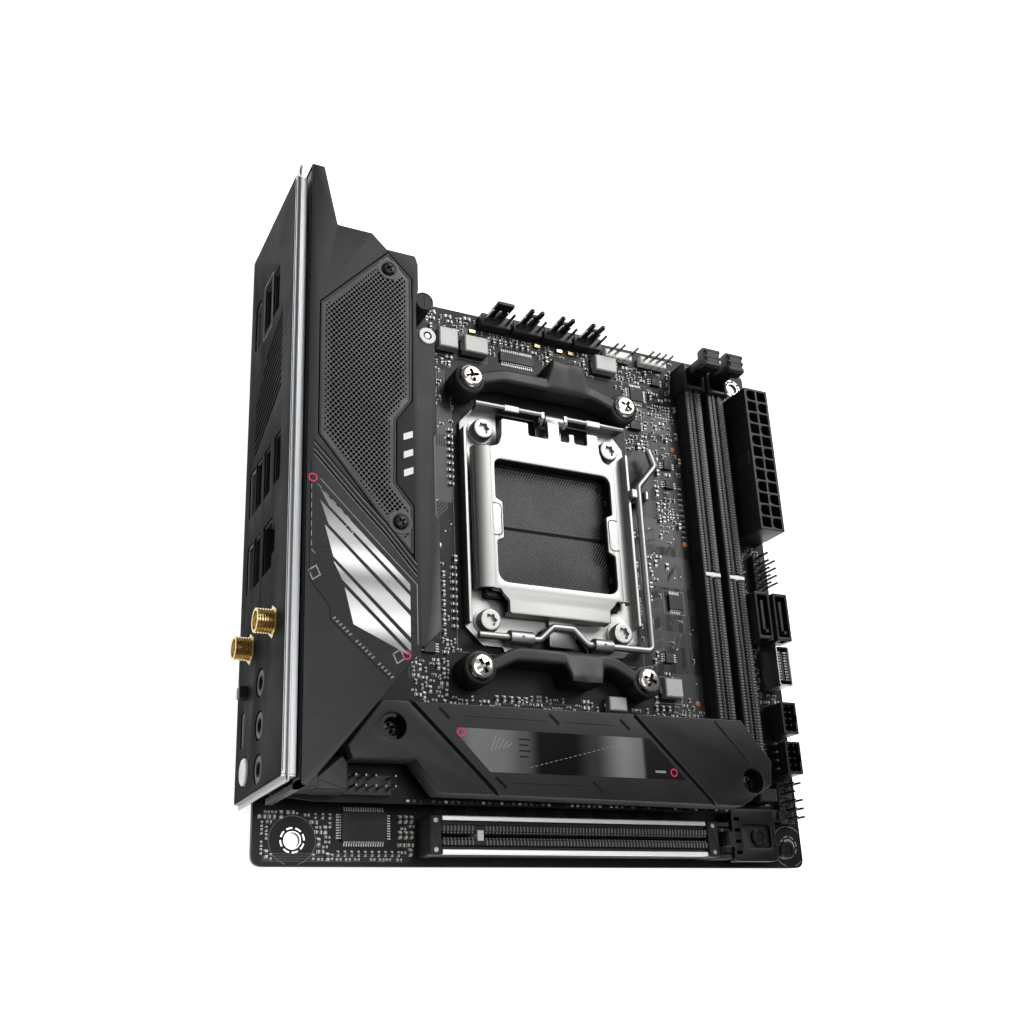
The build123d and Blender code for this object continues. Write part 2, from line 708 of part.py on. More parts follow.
def board_chips():
    """Packaged chips on the open areas of the board."""
    return [
        block(22.6, 34.6, 6.6, 13.2, TOP, 2.8),
        block(73.8, 86.0, 155.2, 159.0, TOP, 2.4),
        block(121.0, 127.0, 150.0, 156.0, TOP, 2.8),
        block(120.0, 125.0, 139.6, 143.4, TOP, 3.2),
        block(128.6, 134.6, 78.0, 84.0, TOP, 2.6),
    ]


def capacitors():
    """Round can capacitors."""
    return [post(x, y, CAPACITOR_R, TOP, CAPACITOR_TOP) for x, y in CAPACITORS]


def battery():
    """Coin cell lying flat in the space below the daughterboard."""
    return post(40.0, 27.5, 10.0, 2.0, 5.2)


# --------------------------------------------------------------------------------------
# Rear connectors


def usb_ports(y, levels):
    """Stack of rectangular sockets, each with a tongue."""
    half = USB_WIDTH / 2
    shell = block(-3.0, 14.0, y - half, y + half, TOP, levels[-1] + USB_HEIGHT / 2 + 0.3)
    for z in levels:
        shell -= block(-4, 8.5, y - 6.2, y + 6.2, z - 2.5, z + 2.5)
        shell += block(-2.2, 9.0, y - 5.6, y + 5.6, z - 0.2, z + 1.6)
    return shell


def hdmi_port():
    """Video socket directly on the board."""
    shell = block(-3.0, 9.0, USB_Y - 7.8, USB_Y + 7.8, TOP, 8.0)
    shell -= block(-4, 7.0, USB_Y - 7.1, USB_Y + 7.1, 2.6, 7.2)
    shell += block(-2.0, 7.4, USB_Y - 5.4, USB_Y + 5.4, 4.4, 5.8)
    return shell


def upper_usb_ports():
    """Two sockets on a stand above the video socket."""
    stack = usb_ports(USB_Y, USB_LEVELS)
    return stack - block(-5, 9.2, USB_Y - 9, USB_Y + 9, 0, 8.2)


def centre_usb_ports():
    return usb_ports(USB_STACK_Y, STACK_LEVELS)


def lan_port():
    """Network jack above two sockets."""
    stack = usb_ports(LAN_Y, LAN_LEVELS)
    jack = block(-3.0, 16.0, LAN_Y - 8.0, LAN_Y + 8.0, LAN_Z0 - 0.4, LAN_Z1 + 1.2)
    jack -= block(-4, 12.0, LAN_Y - 5.9, LAN_Y + 5.9, LAN_Z0 + 1.6, LAN_Z1 - 0.2)
    jack += block(9.0, 16.0, LAN_Y - 6.5, LAN_Y + 6.5, TOP, LAN_Z0)
    return stack + jack


def wireless_module():
    """Boxed radio module standing behind the antenna sockets."""
    return block(1.0, 4.6, 46.8, 63.0, TOP, 36.0)


def antenna_sockets():
    """Two threaded coaxial sockets that stand out through the shield."""
    sockets = []
    for y, z in ANTENNAS:
        socket = rod_x(-8.0, 1.0, y, z, 3.0)
        for ring in range(5):
            x = -7.4 + 0.9 * ring
            groove = rod_x(x, x + 0.4, y, z, 4.0) - rod_x(x - 1, x + 1, y, z, 2.75)
            socket -= groove
        socket -= rod_x(-9.0, -2.0, y, z, 2.3)
        socket += rod_x(-7.0, -1.8, y, z, 0.7)
        sockets.append(socket)
    return sockets


def audio_jacks():
    """Three round jacks on the daughterboard."""
    jacks = []
    for y in JACK_YS:
        jack = block(-2.2, 9.6, y - 4.6, y + 4.6, RISER_Z + RISER_THICK, 24.6)
        jack += rod_x(-3.4, -2.0, y, JACK_Z, 3.3)
        jack -= rod_x(-5, 8.0, y, JACK_Z, 1.8)
        jacks.append(jack)
    return jacks


def usb_c_port():
    """Small oval socket on the board."""
    shell = block(-3.0, 5.0, 28.0, 37.4, TOP, 5.2)
    shell -= block(-4, 4.0, 28.5, 36.9, 2.1, 4.7)
    shell += block(-2.4, 4.2, 29.6, 35.8, 3.1, 3.7)
    return shell


def button_switches():
    """Switch bodies behind the two rear buttons."""
    switches = []
    for y, half in ((FLASH_Y, 2.6), (CLEAR_Y, 4.6)):
        body = block(1.0, 5.0, y - half, y + half, TOP, 9.2)
        body -= block(0.0, 3.2, y - 1.3, y + 1.3, BUTTON_Z - 1.3, BUTTON_Z + 1.3)
        switches.append(body)
    return switches


def flash_button():
    """Square push button that stands out of the shield."""
    cap = block(-5.6, -0.2, FLASH_Y - 1.5, FLASH_Y + 1.5, BUTTON_Z - 1.5, BUTTON_Z + 1.5)
    return cap + block(-0.4, 2.0, FLASH_Y - 0.9, FLASH_Y + 0.9, BUTTON_Z - 0.9, BUTTON_Z + 0.9)


def clear_button():
    """Round pale push button, nearly flush with the shield."""
    cap = rod_x(-4.2, -0.6, CLEAR_Y, BUTTON_Z + 1.2, 3.4)
    return cap + block(-1.0, 2.0, CLEAR_Y - 0.9, CLEAR_Y + 0.9, BUTTON_Z - 0.9, BUTTON_Z + 0.9)


# --------------------------------------------------------------------------------------
# Shield, cover and regulator heatsink


def io_shield():
    """Shallow steel pan with an opening for each rear connector."""
    back = SHIELD_X + SHIELD_SKIN
    inner_x = -0.4
    pan = block(SHIELD_X, inner_x, SHIELD_Y0, SHIELD_Y1, UNDERSIDE, SHIELD_TOP)
    pan -= block(back, 2, SHIELD_Y0 + 0.4, SHIELD_Y1 - 0.4, UNDERSIDE + 0.4, SHIELD_TOP - 0.4)
    # Contact flange just behind the face
    flange = block(-2.6, -2.2, SHIELD_Y0 - 1.2, SHIELD_Y1 + 3.0, UNDERSIDE, SHIELD_TOP + 1.4)
    flange -= block(-3, -2, SHIELD_Y0 + 0.4, SHIELD_Y1 - 0.4, UNDERSIDE + 0.4, SHIELD_TOP - 0.4)
    pan += flange
    # Openings
    levels = [(USB_Y, z) for z in USB_LEVELS] + [(USB_STACK_Y, z) for z in STACK_LEVELS]
    levels += [(LAN_Y, z) for z in LAN_LEVELS]
    for y, z in levels:
        pan -= block(-5, -2, y - 6.6, y + 6.6, z - 2.9, z + 2.9)
    pan -= block(-5, -2, USB_Y - 7.6, USB_Y + 7.6, 2.0, 7.8)
    pan -= block(-5, -2, LAN_Y - 6.6, LAN_Y + 6.6, LAN_Z0 + 0.6, LAN_Z1 + 0.4)
    pan -= block(-5, -2, 28.2, 37.2, 1.8, 5.0)
    pan -= block(-5, -2, FLASH_Y - 1.7, FLASH_Y + 1.7, BUTTON_Z - 1.7, BUTTON_Z + 1.7)
    pan -= rod_x(-5, -2, CLEAR_Y, BUTTON_Z + 1.2, 3.7)
    for y in JACK_YS:
        pan -= rod_x(-5, -2, y, JACK_Z, 3.6)
    for y, z in ANTENNAS:
        pan -= rod_x(-5, -2, y, z, 3.3)
    return pan


def io_cover():
    """Tall thin-walled cover over the rear connectors, recessed for the vent panel."""
    cover = slab(COVER_OUTLINE, 12.0, COVER_TOP)
    cover -= slab(COVER_INNER, 11.0, COVER_TOP - COVER_SKIN)
    # Clearance for the connectors, the regulator heatsink and the storage card's heatsink
    cover -= block(-1, 1.7, 10, 180, 0, 36.4)
    cover -= block(-1, 40, 46, 146, 0, 27.2)
    cover -= block(-1, 40, 0, 47, 0, 24.6)
    cover -= slab(PANEL_OUTLINE, COVER_TOP - PANEL_THICK, COVER_TOP + 1)
    # Vent opening below the panel
    cover -= block(6.0, 22.0, 98.0, 132.0, 40.0, 45.0)
    return cover


def vent_panel():
    """Perforated sheet let into the cover."""
    outline = [(x + dx, y + dy) for (x, y), (dx, dy) in zip(PANEL_OUTLINE, PANEL_INSET)]
    panel = slab(outline, COVER_TOP - PANEL_THICK, COVER_TOP)
    for x, y in PANEL_SCREWS:
        panel -= post(x, y, 1.3, COVER_TOP - 2, COVER_TOP + 2)
    return panel


def panel_screws():
    """Two black pan-head screws on the vent panel."""
    screws = []
    for x, y in PANEL_SCREWS:
        screw = post(x, y, 2.0, COVER_TOP, COVER_TOP + 0.9)
        screw += post(x, y, 1.2, COVER_TOP - PANEL_THICK, COVER_TOP)
        cross = block(x - 1.1, x + 1.1, y - 0.3, y + 0.3, COVER_TOP + 0.4, COVER_TOP + 2)
        cross += block(x - 0.3, x + 0.3, y - 1.1, y + 1.1, COVER_TOP + 0.4, COVER_TOP + 2)
        screws.append(screw - cross)
    return screws


def badge_plate():
    """Bright angular trim plate on the cover."""
    return slab(BADGE_OUTLINE, COVER_TOP, COVER_TOP + BADGE_THICK)


def vrm_heatsink():
    """Finned aluminium block on the power stages, with a step beside the cover."""
    body = block(VRM_X0, VRM_X1, VRM_Y0, VRM_Y1, 6.6, VRM_TOP)
    body -= block(VRM_X0 - 1, 34.0, VRM_Y0 - 1, VRM_Y1 + 1, 0, 12.0)
    body += block(27.4, 33.6, 58.0, 141.0, 2.8, 12.0)
    for index in range(VRM_FINS):
        y = 56.6 + VRM_FIN_PITCH * index
        body -= block(VRM_X0 - 1, 29.2, y, y + 3.6, 14.0, VRM_TOP + 1)
    body -= post(WASHER_X, WASHER_Y, 1.0, 20.0, VRM_TOP + 1)
    return body


def vrm_ring():
    """Bright washer at the end of the heatsink's step."""
    washer = post(WASHER_X, WASHER_Y, 2.5, VRM_TOP, VRM_TOP + 0.4)
    return washer - post(WASHER_X, WASHER_Y, 1.1, VRM_TOP - 1, VRM_TOP + 1)


def main():
    os.makedirs("parts", exist_ok=True)
    save("circuit_board", circuit_board())
    save("socket_backplate", backplate())
    save("backplate_insulator", backplate_insulator())
    save("socket_housing", socket_housing())
    save("socket_contacts", *socket_contacts())
    save("socket_base_frame", socket_base_frame())
    save("socket_screws", *socket_screws())
    save("load_plate", load_plate())
    save("socket_lever", socket_lever())
    front_row = SOCKET_Y - COOLER_HALF_Y
    back_row = SOCKET_Y + COOLER_HALF_Y
    save("cooler_bracket_front", cooler_bracket(front_row, 50.0, 59.2))
    save("cooler_bracket_back", cooler_bracket(back_row, 143.0, 154.4))
    save("bracket_screws", *bracket_screws())
    for index, x in enumerate(MEMORY_XS, start=1):
        save(f"memory_slot_{index}", memory_slot(x))
        save(f"memory_latch_{index}", memory_latch(x))
    save("slot_keys", *[memory_key(x) for x in MEMORY_XS], slot_key())
    save("main_power_socket", power_socket(*MAIN_POWER))
    save("cpu_power_socket", power_socket(*CPU_POWER))
    save("power_pins", *power_pins(*MAIN_POWER), *power_pins(*CPU_POWER))
    save("fan_headers", *fan_headers())
    save("light_headers", *light_headers())
    save("header_pins", *header_pins())
    save("header_bases", *header_bases())
    save("shrouded_headers", shrouded_header(162.1, 39.4), shrouded_header(161.8, 27.0))
    save("sata_connectors", sata_connector(156.9, 69.4), sata_connector(164.1, 69.4))
    save("front_usb_connector", front_usb_connector())
    save("expansion_slot", expansion_slot())
    save("slot_rails", *slot_rails())
    save("slot_latch", slot_latch())
    save("riser_board", riser_board())
    save("standoffs", *riser_standoffs(), m2_standoff())
    save("card_connectors", riser_connector(), m2_connector())
    save("riser_shield", riser_shield())
    save("m2_latch", m2_latch())
    save("m2_thermal_pad", m2_thermal_pad())
    save("m2_heatsink", m2_heatsink())
    save("cover_screws", *m2_screws(), *panel_screws())
    save("m2_badge_plate", m2_badge_plate())
    save("audio_header", *audio_header())
    save("chipset_heatsink", chipset_heatsink())
    save("chokes", *chokes(), *hidden_chokes())
    save("board_chips", chipset(), *board_chips(), *mosfets())
    save("capacitors", *capacitors())
    save("battery", battery())
    save("hdmi_port", hdmi_port())
    save("usb_ports", upper_usb_ports(), centre_usb_ports())
    save("lan_port", lan_port())
    save("wireless_module", wireless_module())
    save("antenna_sockets", *antenna_sockets())
    save("audio_jacks", *audio_jacks())
    save("usb_c_port", usb_c_port())
    save("button_switches", *button_switches())
    save("flash_button", flash_button())
    save("clear_button", clear_button())
    save("io_shield", io_shield())
    save("io_cover", io_cover())
    save("vent_panel", vent_panel())
    save("badge_plate", badge_plate())
    save("vrm_heatsink", vrm_heatsink(), vrm_ring())


main()
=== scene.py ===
import math
import random

import bmesh
import bpy
from mathutils import Matrix, Vector


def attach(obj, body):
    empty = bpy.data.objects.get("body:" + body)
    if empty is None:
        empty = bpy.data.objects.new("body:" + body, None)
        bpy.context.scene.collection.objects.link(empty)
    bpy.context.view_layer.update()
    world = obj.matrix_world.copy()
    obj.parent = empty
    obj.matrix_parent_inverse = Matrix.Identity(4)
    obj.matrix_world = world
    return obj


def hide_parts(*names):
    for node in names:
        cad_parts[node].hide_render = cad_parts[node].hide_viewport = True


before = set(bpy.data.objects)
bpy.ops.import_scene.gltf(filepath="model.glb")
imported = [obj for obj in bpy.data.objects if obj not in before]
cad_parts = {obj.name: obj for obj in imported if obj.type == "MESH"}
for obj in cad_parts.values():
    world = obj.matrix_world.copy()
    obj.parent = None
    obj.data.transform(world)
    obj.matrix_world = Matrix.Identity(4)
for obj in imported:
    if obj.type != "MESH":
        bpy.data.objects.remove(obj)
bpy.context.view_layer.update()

# Lengths below are in millimetres from the board's rear and slot-side edges, height from its underside.
ORIGIN_X = 87.63
ORIGIN_Y = 6.35
TOP = 1.6
REST = -2.8
PITCH = 2.54
SOCKET_X = 87.0
SOCKET_Y = 97.6
COVER_TOP = 43.5
REGULATOR_TOP = 27.0
HEATSINK_TOP = 24.0
RISER_UNDER = 12.0
RISER_TOP = 13.4
BASE_TOP = 2.8
LEVER_Z = 6.0
HINGE_Y = 134.6
HINGE_Z = 5.6
SHIELD_X = -3.6
USB_STACKS = ((148.0, (15.6, 24.0)), (96.5, (4.9, 11.6, 19.8, 29.2)))
LAN_Y = 75.0
LAN_LEVELS = (4.9, 12.0)
JACK_YS = (41.1, 30.7, 20.3)
JACK_Z = 19.2
ANTENNAS = ((53.4, 29.4), (52.3, 8.6))
BOARD_HOLES = ((10.16, 6.35), (165.1, 6.35), (33.02, 163.83), (165.1, 163.83))
COOLER_HOLES = [(SOCKET_X + sx * 27, SOCKET_Y + sy * 45) for sy in (-1, 1) for sx in (-1, 1)]
SOCKET_SCREWS = [(SOCKET_X + 0.2 + sx * 22, SOCKET_Y + 0.3 + sy * 30.2) for sy in (-1, 1) for sx in (-1, 1)]
MEMORY_XS = (143.6, 152.9)
MEMORY_KEY_Y = 90.0
SLOT_Y = 7.1
SLOT_KEY_X = 57.7
FAN_XS = (66.8, 77.9, 89.0, 100.1)
POWER_AREAS = {
    # x0, x1, y0, y1, wells across, wells along
    "main_power_socket": (159.6, 169.2, 105.4, 157.0, 2, 12),
    "cpu_power_socket": (20.8, 39.4, 158.6, 168.0, 4, 2),
}
CAN_CAPACITORS = ((44.6, 164.4), (22.0, 149.6), (24.0, 48.0))
STORAGE_SCREWS = ((28.6, 31.4), (137.0, 21.6))
RISER_POSTS = ((16, 42), (120, 35))
WASHER = (38.6, 142.0)
BUTTON_Y = 21.8
BUTTON_Z = 6.6
MM = 0.001
rng = random.Random(11)


# ---------------------------------------------------------------- materials


def nodes_of(name):
    material = bpy.data.materials.new(name)
    material.use_nodes = True
    tree = material.node_tree
    shader = tree.nodes["Principled BSDF"]
    return material, tree, shader


def noise(tree, scale, detail=4.0, stretch=(1, 1, 1), turn=0.0):
    """Noise texture in the piece's own coordinates."""
    where = tree.nodes.new("ShaderNodeTexCoord")
    mapping = tree.nodes.new("ShaderNodeMapping")
    mapping.inputs["Scale"].default_value = stretch
    mapping.inputs["Rotation"].default_value = (0, 0, turn)
    texture = tree.nodes.new("ShaderNodeTexNoise")
    texture.inputs["Scale"].default_value = scale
    texture.inputs["Detail"].default_value = detail
    tree.links.new(where.outputs["Object"], mapping.inputs["Vector"])
    tree.links.new(mapping.outputs["Vector"], texture.inputs["Vector"])
    return texture.outputs["Fac"]


def spread(tree, value, low, high, frm=0.3, to=0.7):
    """Value mapped onto a range."""
    node = tree.nodes.new("ShaderNodeMapRange")
    node.inputs["From Min"].default_value = frm
    node.inputs["From Max"].default_value = to
    node.inputs["To Min"].default_value = low
    node.inputs["To Max"].default_value = high
    tree.links.new(value, node.inputs["Value"])
    return node.outputs["Result"]


def surface(name, colour, rough, metal=0.0, vary=0.15, grain=900.0, bump=0.05, brushed=None, coat=0.0,
            rough_vary=0.08, edge_lightening=0.0, spec=0.5):
    """Finish with varied colour and roughness, fine bump, optional brushing and colour lightened on sharp
    convex edges.
    """
    material, tree, shader = nodes_of(name)
    links = tree.links
    large = noise(tree, 60.0, 5.0)
    if brushed:
        scale, stretch, turn = brushed
        fine = noise(tree, scale, 3.0, stretch, turn)
    else:
        fine = noise(tree, grain, 4.0)
    mix = tree.nodes.new("ShaderNodeMix")
    mix.data_type = "RGBA"
    dark = tuple(c * (1 - vary) for c in colour)
    light = tuple(min(1.0, c * (1 + vary)) for c in colour)
    mix.inputs["A"].default_value = (*dark, 1)
    mix.inputs["B"].default_value = (*light, 1)
    blend = tree.nodes.new("ShaderNodeMath")
    blend.operation = "ADD"
    links.new(spread(tree, large, 0.0, 0.5), blend.inputs[0])
    links.new(spread(tree, fine, 0.0, 0.5), blend.inputs[1])
    links.new(blend.outputs[0], mix.inputs["Factor"])
    result = mix.outputs["Result"]
    # Colour lightened on sharp convex edges, found by Pointiness
    if edge_lightening:
        geometry = tree.nodes.new("ShaderNodeNewGeometry")
        edge = spread(tree, geometry.outputs["Pointiness"], 0.0, edge_lightening, 0.52, 0.6)
        edge_tint = tree.nodes.new("ShaderNodeMix")
        edge_tint.data_type = "RGBA"
        links.new(edge, edge_tint.inputs["Factor"])
        links.new(result, edge_tint.inputs["A"])
        edge_tint.inputs["B"].default_value = (*[min(1.0, c * 2.5 + 0.08) for c in colour], 1)
        result = edge_tint.outputs["Result"]
    links.new(result, shader.inputs["Base Color"])
    low, high = max(0.03, rough - rough_vary), min(1.0, rough + rough_vary)
    links.new(spread(tree, fine if brushed else large, low, high), shader.inputs["Roughness"])
    shader.inputs["Metallic"].default_value = metal
    shader.inputs["Coat Weight"].default_value = coat
    shader.inputs["Coat Roughness"].default_value = 0.12
    shader.inputs["Specular IOR Level"].default_value = spec
    relief = tree.nodes.new("ShaderNodeBump")
    relief.inputs["Strength"].default_value = bump
    relief.inputs["Distance"].default_value = 0.0002
    links.new(fine, relief.inputs["Height"])
    links.new(relief.outputs["Normal"], shader.inputs["Normal"])
    return material


SLANT = math.radians(-50)
STEEL_LOOK = dict(metal=1.0, vary=0.03, bump=0.002, rough_vary=0.02)
MASK = surface("solder_mask", (0.0034, 0.0036, 0.0040), 0.42, vary=0.3, grain=1500, bump=0.05, coat=0.04,
               spec=0.19)
TRACE = surface("mask_over_copper", (0.0105, 0.011, 0.012), 0.38, vary=0.2, bump=0.04, coat=0.12, spec=0.4)
AMBER = surface("laminate_edge", (0.11, 0.06, 0.02), 0.6, vary=0.4, brushed=(300, (1, 1, 30), 0), bump=0.2)
SILK = surface("legend_ink", (0.24, 0.245, 0.25), 0.7, vary=0.15)
FAINT = surface("faint_legend_ink", (0.045, 0.047, 0.05), 0.6, vary=0.15)
BLACK = surface("black_moulding", (0.0055, 0.0055, 0.006), 0.42, vary=0.3, grain=2200, bump=0.10, edge_lightening=0.25,
                spec=0.35)
SATIN_BLACK = surface("satin_moulding", (0.006, 0.006, 0.0065), 0.34, vary=0.25, grain=1600, bump=0.05,
                      edge_lightening=0.2,
                      spec=0.22)
BRACKET = surface("bracket_moulding", (0.0125, 0.0125, 0.013), 0.44, vary=0.25, grain=2200, bump=0.08,
                  edge_lightening=0.2,
                  spec=0.4)
DEEP = surface("shadowed_inside", (0.003, 0.003, 0.003), 0.8, vary=0.3, spec=0.2)
RIB = surface("ladder_rib", (0.21, 0.21, 0.205), 0.42, vary=0.3, spec=0.4)
COVER = surface("brushed_black_metal", (0.0095, 0.010, 0.011), 0.42, metal=0.4, vary=0.25,
                brushed=(240, (1, 40, 1), SLANT), bump=0.07, edge_lightening=0.5, rough_vary=0.08, spec=0.3)
HEATSINK = surface("black_anodised", (0.0105, 0.011, 0.012), 0.42, metal=0.45, vary=0.22, grain=2600,
                   bump=0.10,
                   edge_lightening=0.6, spec=0.35)
GROOVED = surface("grooved_anodised", (0.017, 0.0175, 0.019), 0.36, metal=0.6, vary=0.25,
                  brushed=(240, (1, 40, 1), SLANT), bump=0.08, edge_lightening=0.5, spec=0.35)
SHIELD = surface("shield_coating", (0.0045, 0.0047, 0.0052), 0.6, vary=0.2, grain=1800, bump=0.08, spec=0.05)
RIM = surface("bare_shield_steel", (0.44, 0.45, 0.46), 0.34, brushed=(60, (1, 1, 30), 0), **STEEL_LOOK)
STEEL = surface("satin_stainless", (0.35, 0.347, 0.339), 0.40, brushed=(220, (30, 1, 1), 0), **STEEL_LOOK)
STEEL_Y = surface("satin_stainless_long", (0.34, 0.337, 0.329), 0.40, brushed=(220, (1, 30, 1), 0),
                  **STEEL_LOOK)
RAIL = surface("bright_rail", (0.93, 0.93, 0.92), 0.42, brushed=(120, (20, 1, 1), 0), **STEEL_LOOK)
PORT = surface("port_plating", (0.46, 0.46, 0.45), 0.36, metal=1.0, vary=0.08, grain=400, bump=0.03)
NICKEL = surface("nickel_plate", (0.56, 0.54, 0.50), 0.15, metal=1.0, vary=0.06, bump=0.02, rough_vary=0.04)
# Darker colour for the inside of the cross recesses: painted shade
RECESS_SHADE = surface("screw_recess_painted_shade", (0.10, 0.075, 0.05), 0.4, metal=0.9, vary=0.3)
# Black oxide for the black screws and the backplate; it also paints the shade of the small hole on each lever
# bearing
BLACK_OXIDE_AND_HOLE_SHADE = surface("black_oxide_and_hole_shade", (0.014, 0.014, 0.015), 0.32, metal=0.8, vary=0.3, bump=0.08, edge_lightening=0.4)
GOLD = surface("gold_plate", (0.72, 0.58, 0.30), 0.24, metal=1.0, vary=0.12, grain=700, bump=0.03)
PIN = surface("pin_plate", (0.30, 0.29, 0.27), 0.28, metal=1.0, vary=0.12, bump=0.03)
TIN = surface("solder_tin", (0.42, 0.42, 0.41), 0.42, metal=1.0, vary=0.15, bump=0.05)
CHIP = surface("chip_mould", (0.009, 0.009, 0.0095), 0.5, vary=0.25, grain=3000, bump=0.16, spec=0.4)
CERAMIC = surface("capacitor_ceramic", (0.10, 0.075, 0.052), 0.5, vary=0.3, grain=1200)
DARK_CERAMIC = surface("resistor_glaze", (0.010, 0.010, 0.011), 0.32, vary=0.3, grain=1200)
CHOKE = surface("choke_alloy", (0.34, 0.34, 0.33), 0.48, metal=0.35, vary=0.10, grain=2500, bump=0.15,
                edge_lightening=0.3)
WHITE = surface("pale_moulding", (0.78, 0.78, 0.76), 0.4, vary=0.06, grain=1500, bump=0.08)
CONTACTS = surface("contact_field", (0.022, 0.022, 0.023), 0.4, metal=0.6, vary=0.3, bump=0.05)
CONTACT_PIN = surface("contact_spring", (0.27, 0.265, 0.255), 0.34, metal=1.0, vary=0.2)
RING = surface("crimson_ring", (0.62, 0.02, 0.085), 0.4, vary=0.12, spec=0.3)
ENGRAVED = surface("engraved_line", (0.035, 0.037, 0.04), 0.4, metal=0.5, vary=0.2)
# Pale lines: printed pattern on the cover and label, and painted highlights beside the drawn steps and edges
PALE_PRINT_AND_HIGHLIGHT = surface("pale_print_and_painted_highlight", (0.22, 0.225, 0.23), 0.42, metal=0.4, vary=0.2)
FIELD = surface("badge_field", (0.0075, 0.0078, 0.0085), 0.34, metal=0.4, vary=0.25,
                brushed=(200, (1, 30, 1), SLANT), bump=0.03, spec=0.35)
PAD = surface("thermal_pad", (0.32, 0.34, 0.38), 0.8, vary=0.1, bump=0.3)
ORANGE = surface("orange_lamp", (0.30, 0.10, 0.02), 0.4, vary=0.15)
CELL = surface("cell_steel", (0.7, 0.7, 0.7), 0.24, metal=1.0, vary=0.06)


def banded(name, axis, stops, rough, metal):
    """Painted sheen: base colour grey that changes along one axis; stops are (millimetres, grey)."""
    material, tree, shader = nodes_of(name)
    origin = ORIGIN_X if axis == "X" else ORIGIN_Y
    low, high = stops[0][0], stops[-1][0]
    where = tree.nodes.new("ShaderNodeTexCoord")
    split = tree.nodes.new("ShaderNodeSeparateXYZ")
    tree.links.new(where.outputs["Object"], split.inputs["Vector"])
    along = spread(tree, split.outputs[axis], 0.0, 1.0, (low - origin) * MM, (high - origin) * MM)
    ramp = tree.nodes.new("ShaderNodeValToRGB")
    ramp.color_ramp.interpolation = "EASE"
    elements = ramp.color_ramp.elements
    for index, (place, grey) in enumerate(stops):
        at = (place - low) / (high - low)
        element = elements[index] if index < 2 else elements.new(at)
        element.position = at
        element.color = (grey, grey * 1.01, grey * 1.03, 1)
    tree.links.new(along, ramp.inputs["Fac"])
    tree.links.new(ramp.outputs["Color"], shader.inputs["Base Color"])
    tree.links.new(spread(tree, noise(tree, 90.0), rough - 0.03, rough + 0.03), shader.inputs["Roughness"])
    shader.inputs["Metallic"].default_value = metal
    shader.inputs["Specular IOR Level"].default_value = 0.12
    return material


# Label and badge: bright and dark bands of painted sheen in the base colour
LABEL = banded("label_sheen", "X", [(43.0, 0.010), (50.5, 0.15), (58.0, 0.14), (64.5, 0.07), (69.5, 0.001),
                                    (79.0, 0.0005),
                                    (85.5, 0.03), (95.0, 0.19), (100.0, 0.15), (101.6, 0.010),
                                            (116.0, 0.006)], 0.3, 0.3)
SILVER_SHEEN = banded("badge_silver_painted_sheen", "Y", [(46.0, 0.20), (51.0, 0.62), (57.0, 0.40), (61.5, 0.22), (66.5, 0.60),
                                      (71.0, 0.30),
                                      (80.0, 0.14)], 0.34, 0.75)


# ---------------------------------------------------------------- shape helpers


def circle(x, y, radius, count=32, start=0.0):
    step = 2 * math.pi / count
    return [(x + radius * math.cos(start + i * step),
             y + radius * math.sin(start + i * step)) for i in range(count)]


def oblong(x0, x1, y0, y1):
    return [(x0, y0), (x1, y0), (x1, y1), (x0, y1)]


def rounded(points, radius, steps=5):
    """Polygon with each corner replaced by an arc; radius is one value or one per corner."""
    made = []
    count = len(points)
    for i, here in enumerate(points):
        r = radius[i] if isinstance(radius, (list, tuple)) else radius
        p = Vector(here)
        before, after = Vector(points[i - 1]) - p, Vector(points[(i + 1) % count]) - p
        if r <= 0 or before.length < 1e-6 or after.length < 1e-6:
            made.append(tuple(p))
            continue
        angle = before.angle(after)
        if angle > math.pi - 0.02:
            made.append(tuple(p))
            continue
        reach = min(r / math.tan(angle / 2), before.length * 0.49, after.length * 0.49)
        a, b = p + before.normalized() * reach, p + after.normalized() * reach
        for s in range(steps + 1):
            t = s / steps
            q = a * (1 - t) ** 2 + p * 2 * t * (1 - t) + b * t ** 2
            made.append(tuple(q))
    return made


def grown(points, amount):
    """Polygon pushed outward along its corner bisectors (inward when amount is negative)."""
    area = sum(points[i - 1][0] * p[1] - p[0] * points[i - 1][1] for i, p in enumerate(points))
    sign = 1 if area > 0 else -1
    out = []
    for i, here in enumerate(points):
        p = Vector(here)
        a = (p - Vector(points[i - 1])).normalized()
        b = (Vector(points[(i + 1) % len(points)]) - p).normalized()
        na, nb = Vector((a.y, -a.x)) * sign, Vector((b.y, -b.x)) * sign
        bisector = na + nb
        if bisector.length < 1e-6:
            out.append(tuple(p))
            continue
        bisector.normalize()
        out.append(tuple(p + bisector * (amount / max(0.35, bisector.dot(na)))))
    return out


def inside(point, polygon):
    """Whether the point lies in the polygon, by counting crossings."""
    x, y = point
    hit = False
    for i, (x1, y1) in enumerate(polygon):
        x0, y0 = polygon[i - 1]
        if (y0 > y) != (y1 > y) and x < (x1 - x0) * (y - y0) / (y1 - y0) + x0:
            hit = not hit
    return hit


def distance_to_edge(point, polygon):
    """Shortest way from the point to the polygon's outline."""
    best = 1e9
    p = Vector(point)
    for i, b in enumerate(polygon):
        a, b = Vector(polygon[i - 1]), Vector(b)
        t = max(0.0, min(1.0, (p - a).dot(b - a) / (b - a).length_squared))
        best = min(best, (p - (a + (b - a) * t)).length)
    return best


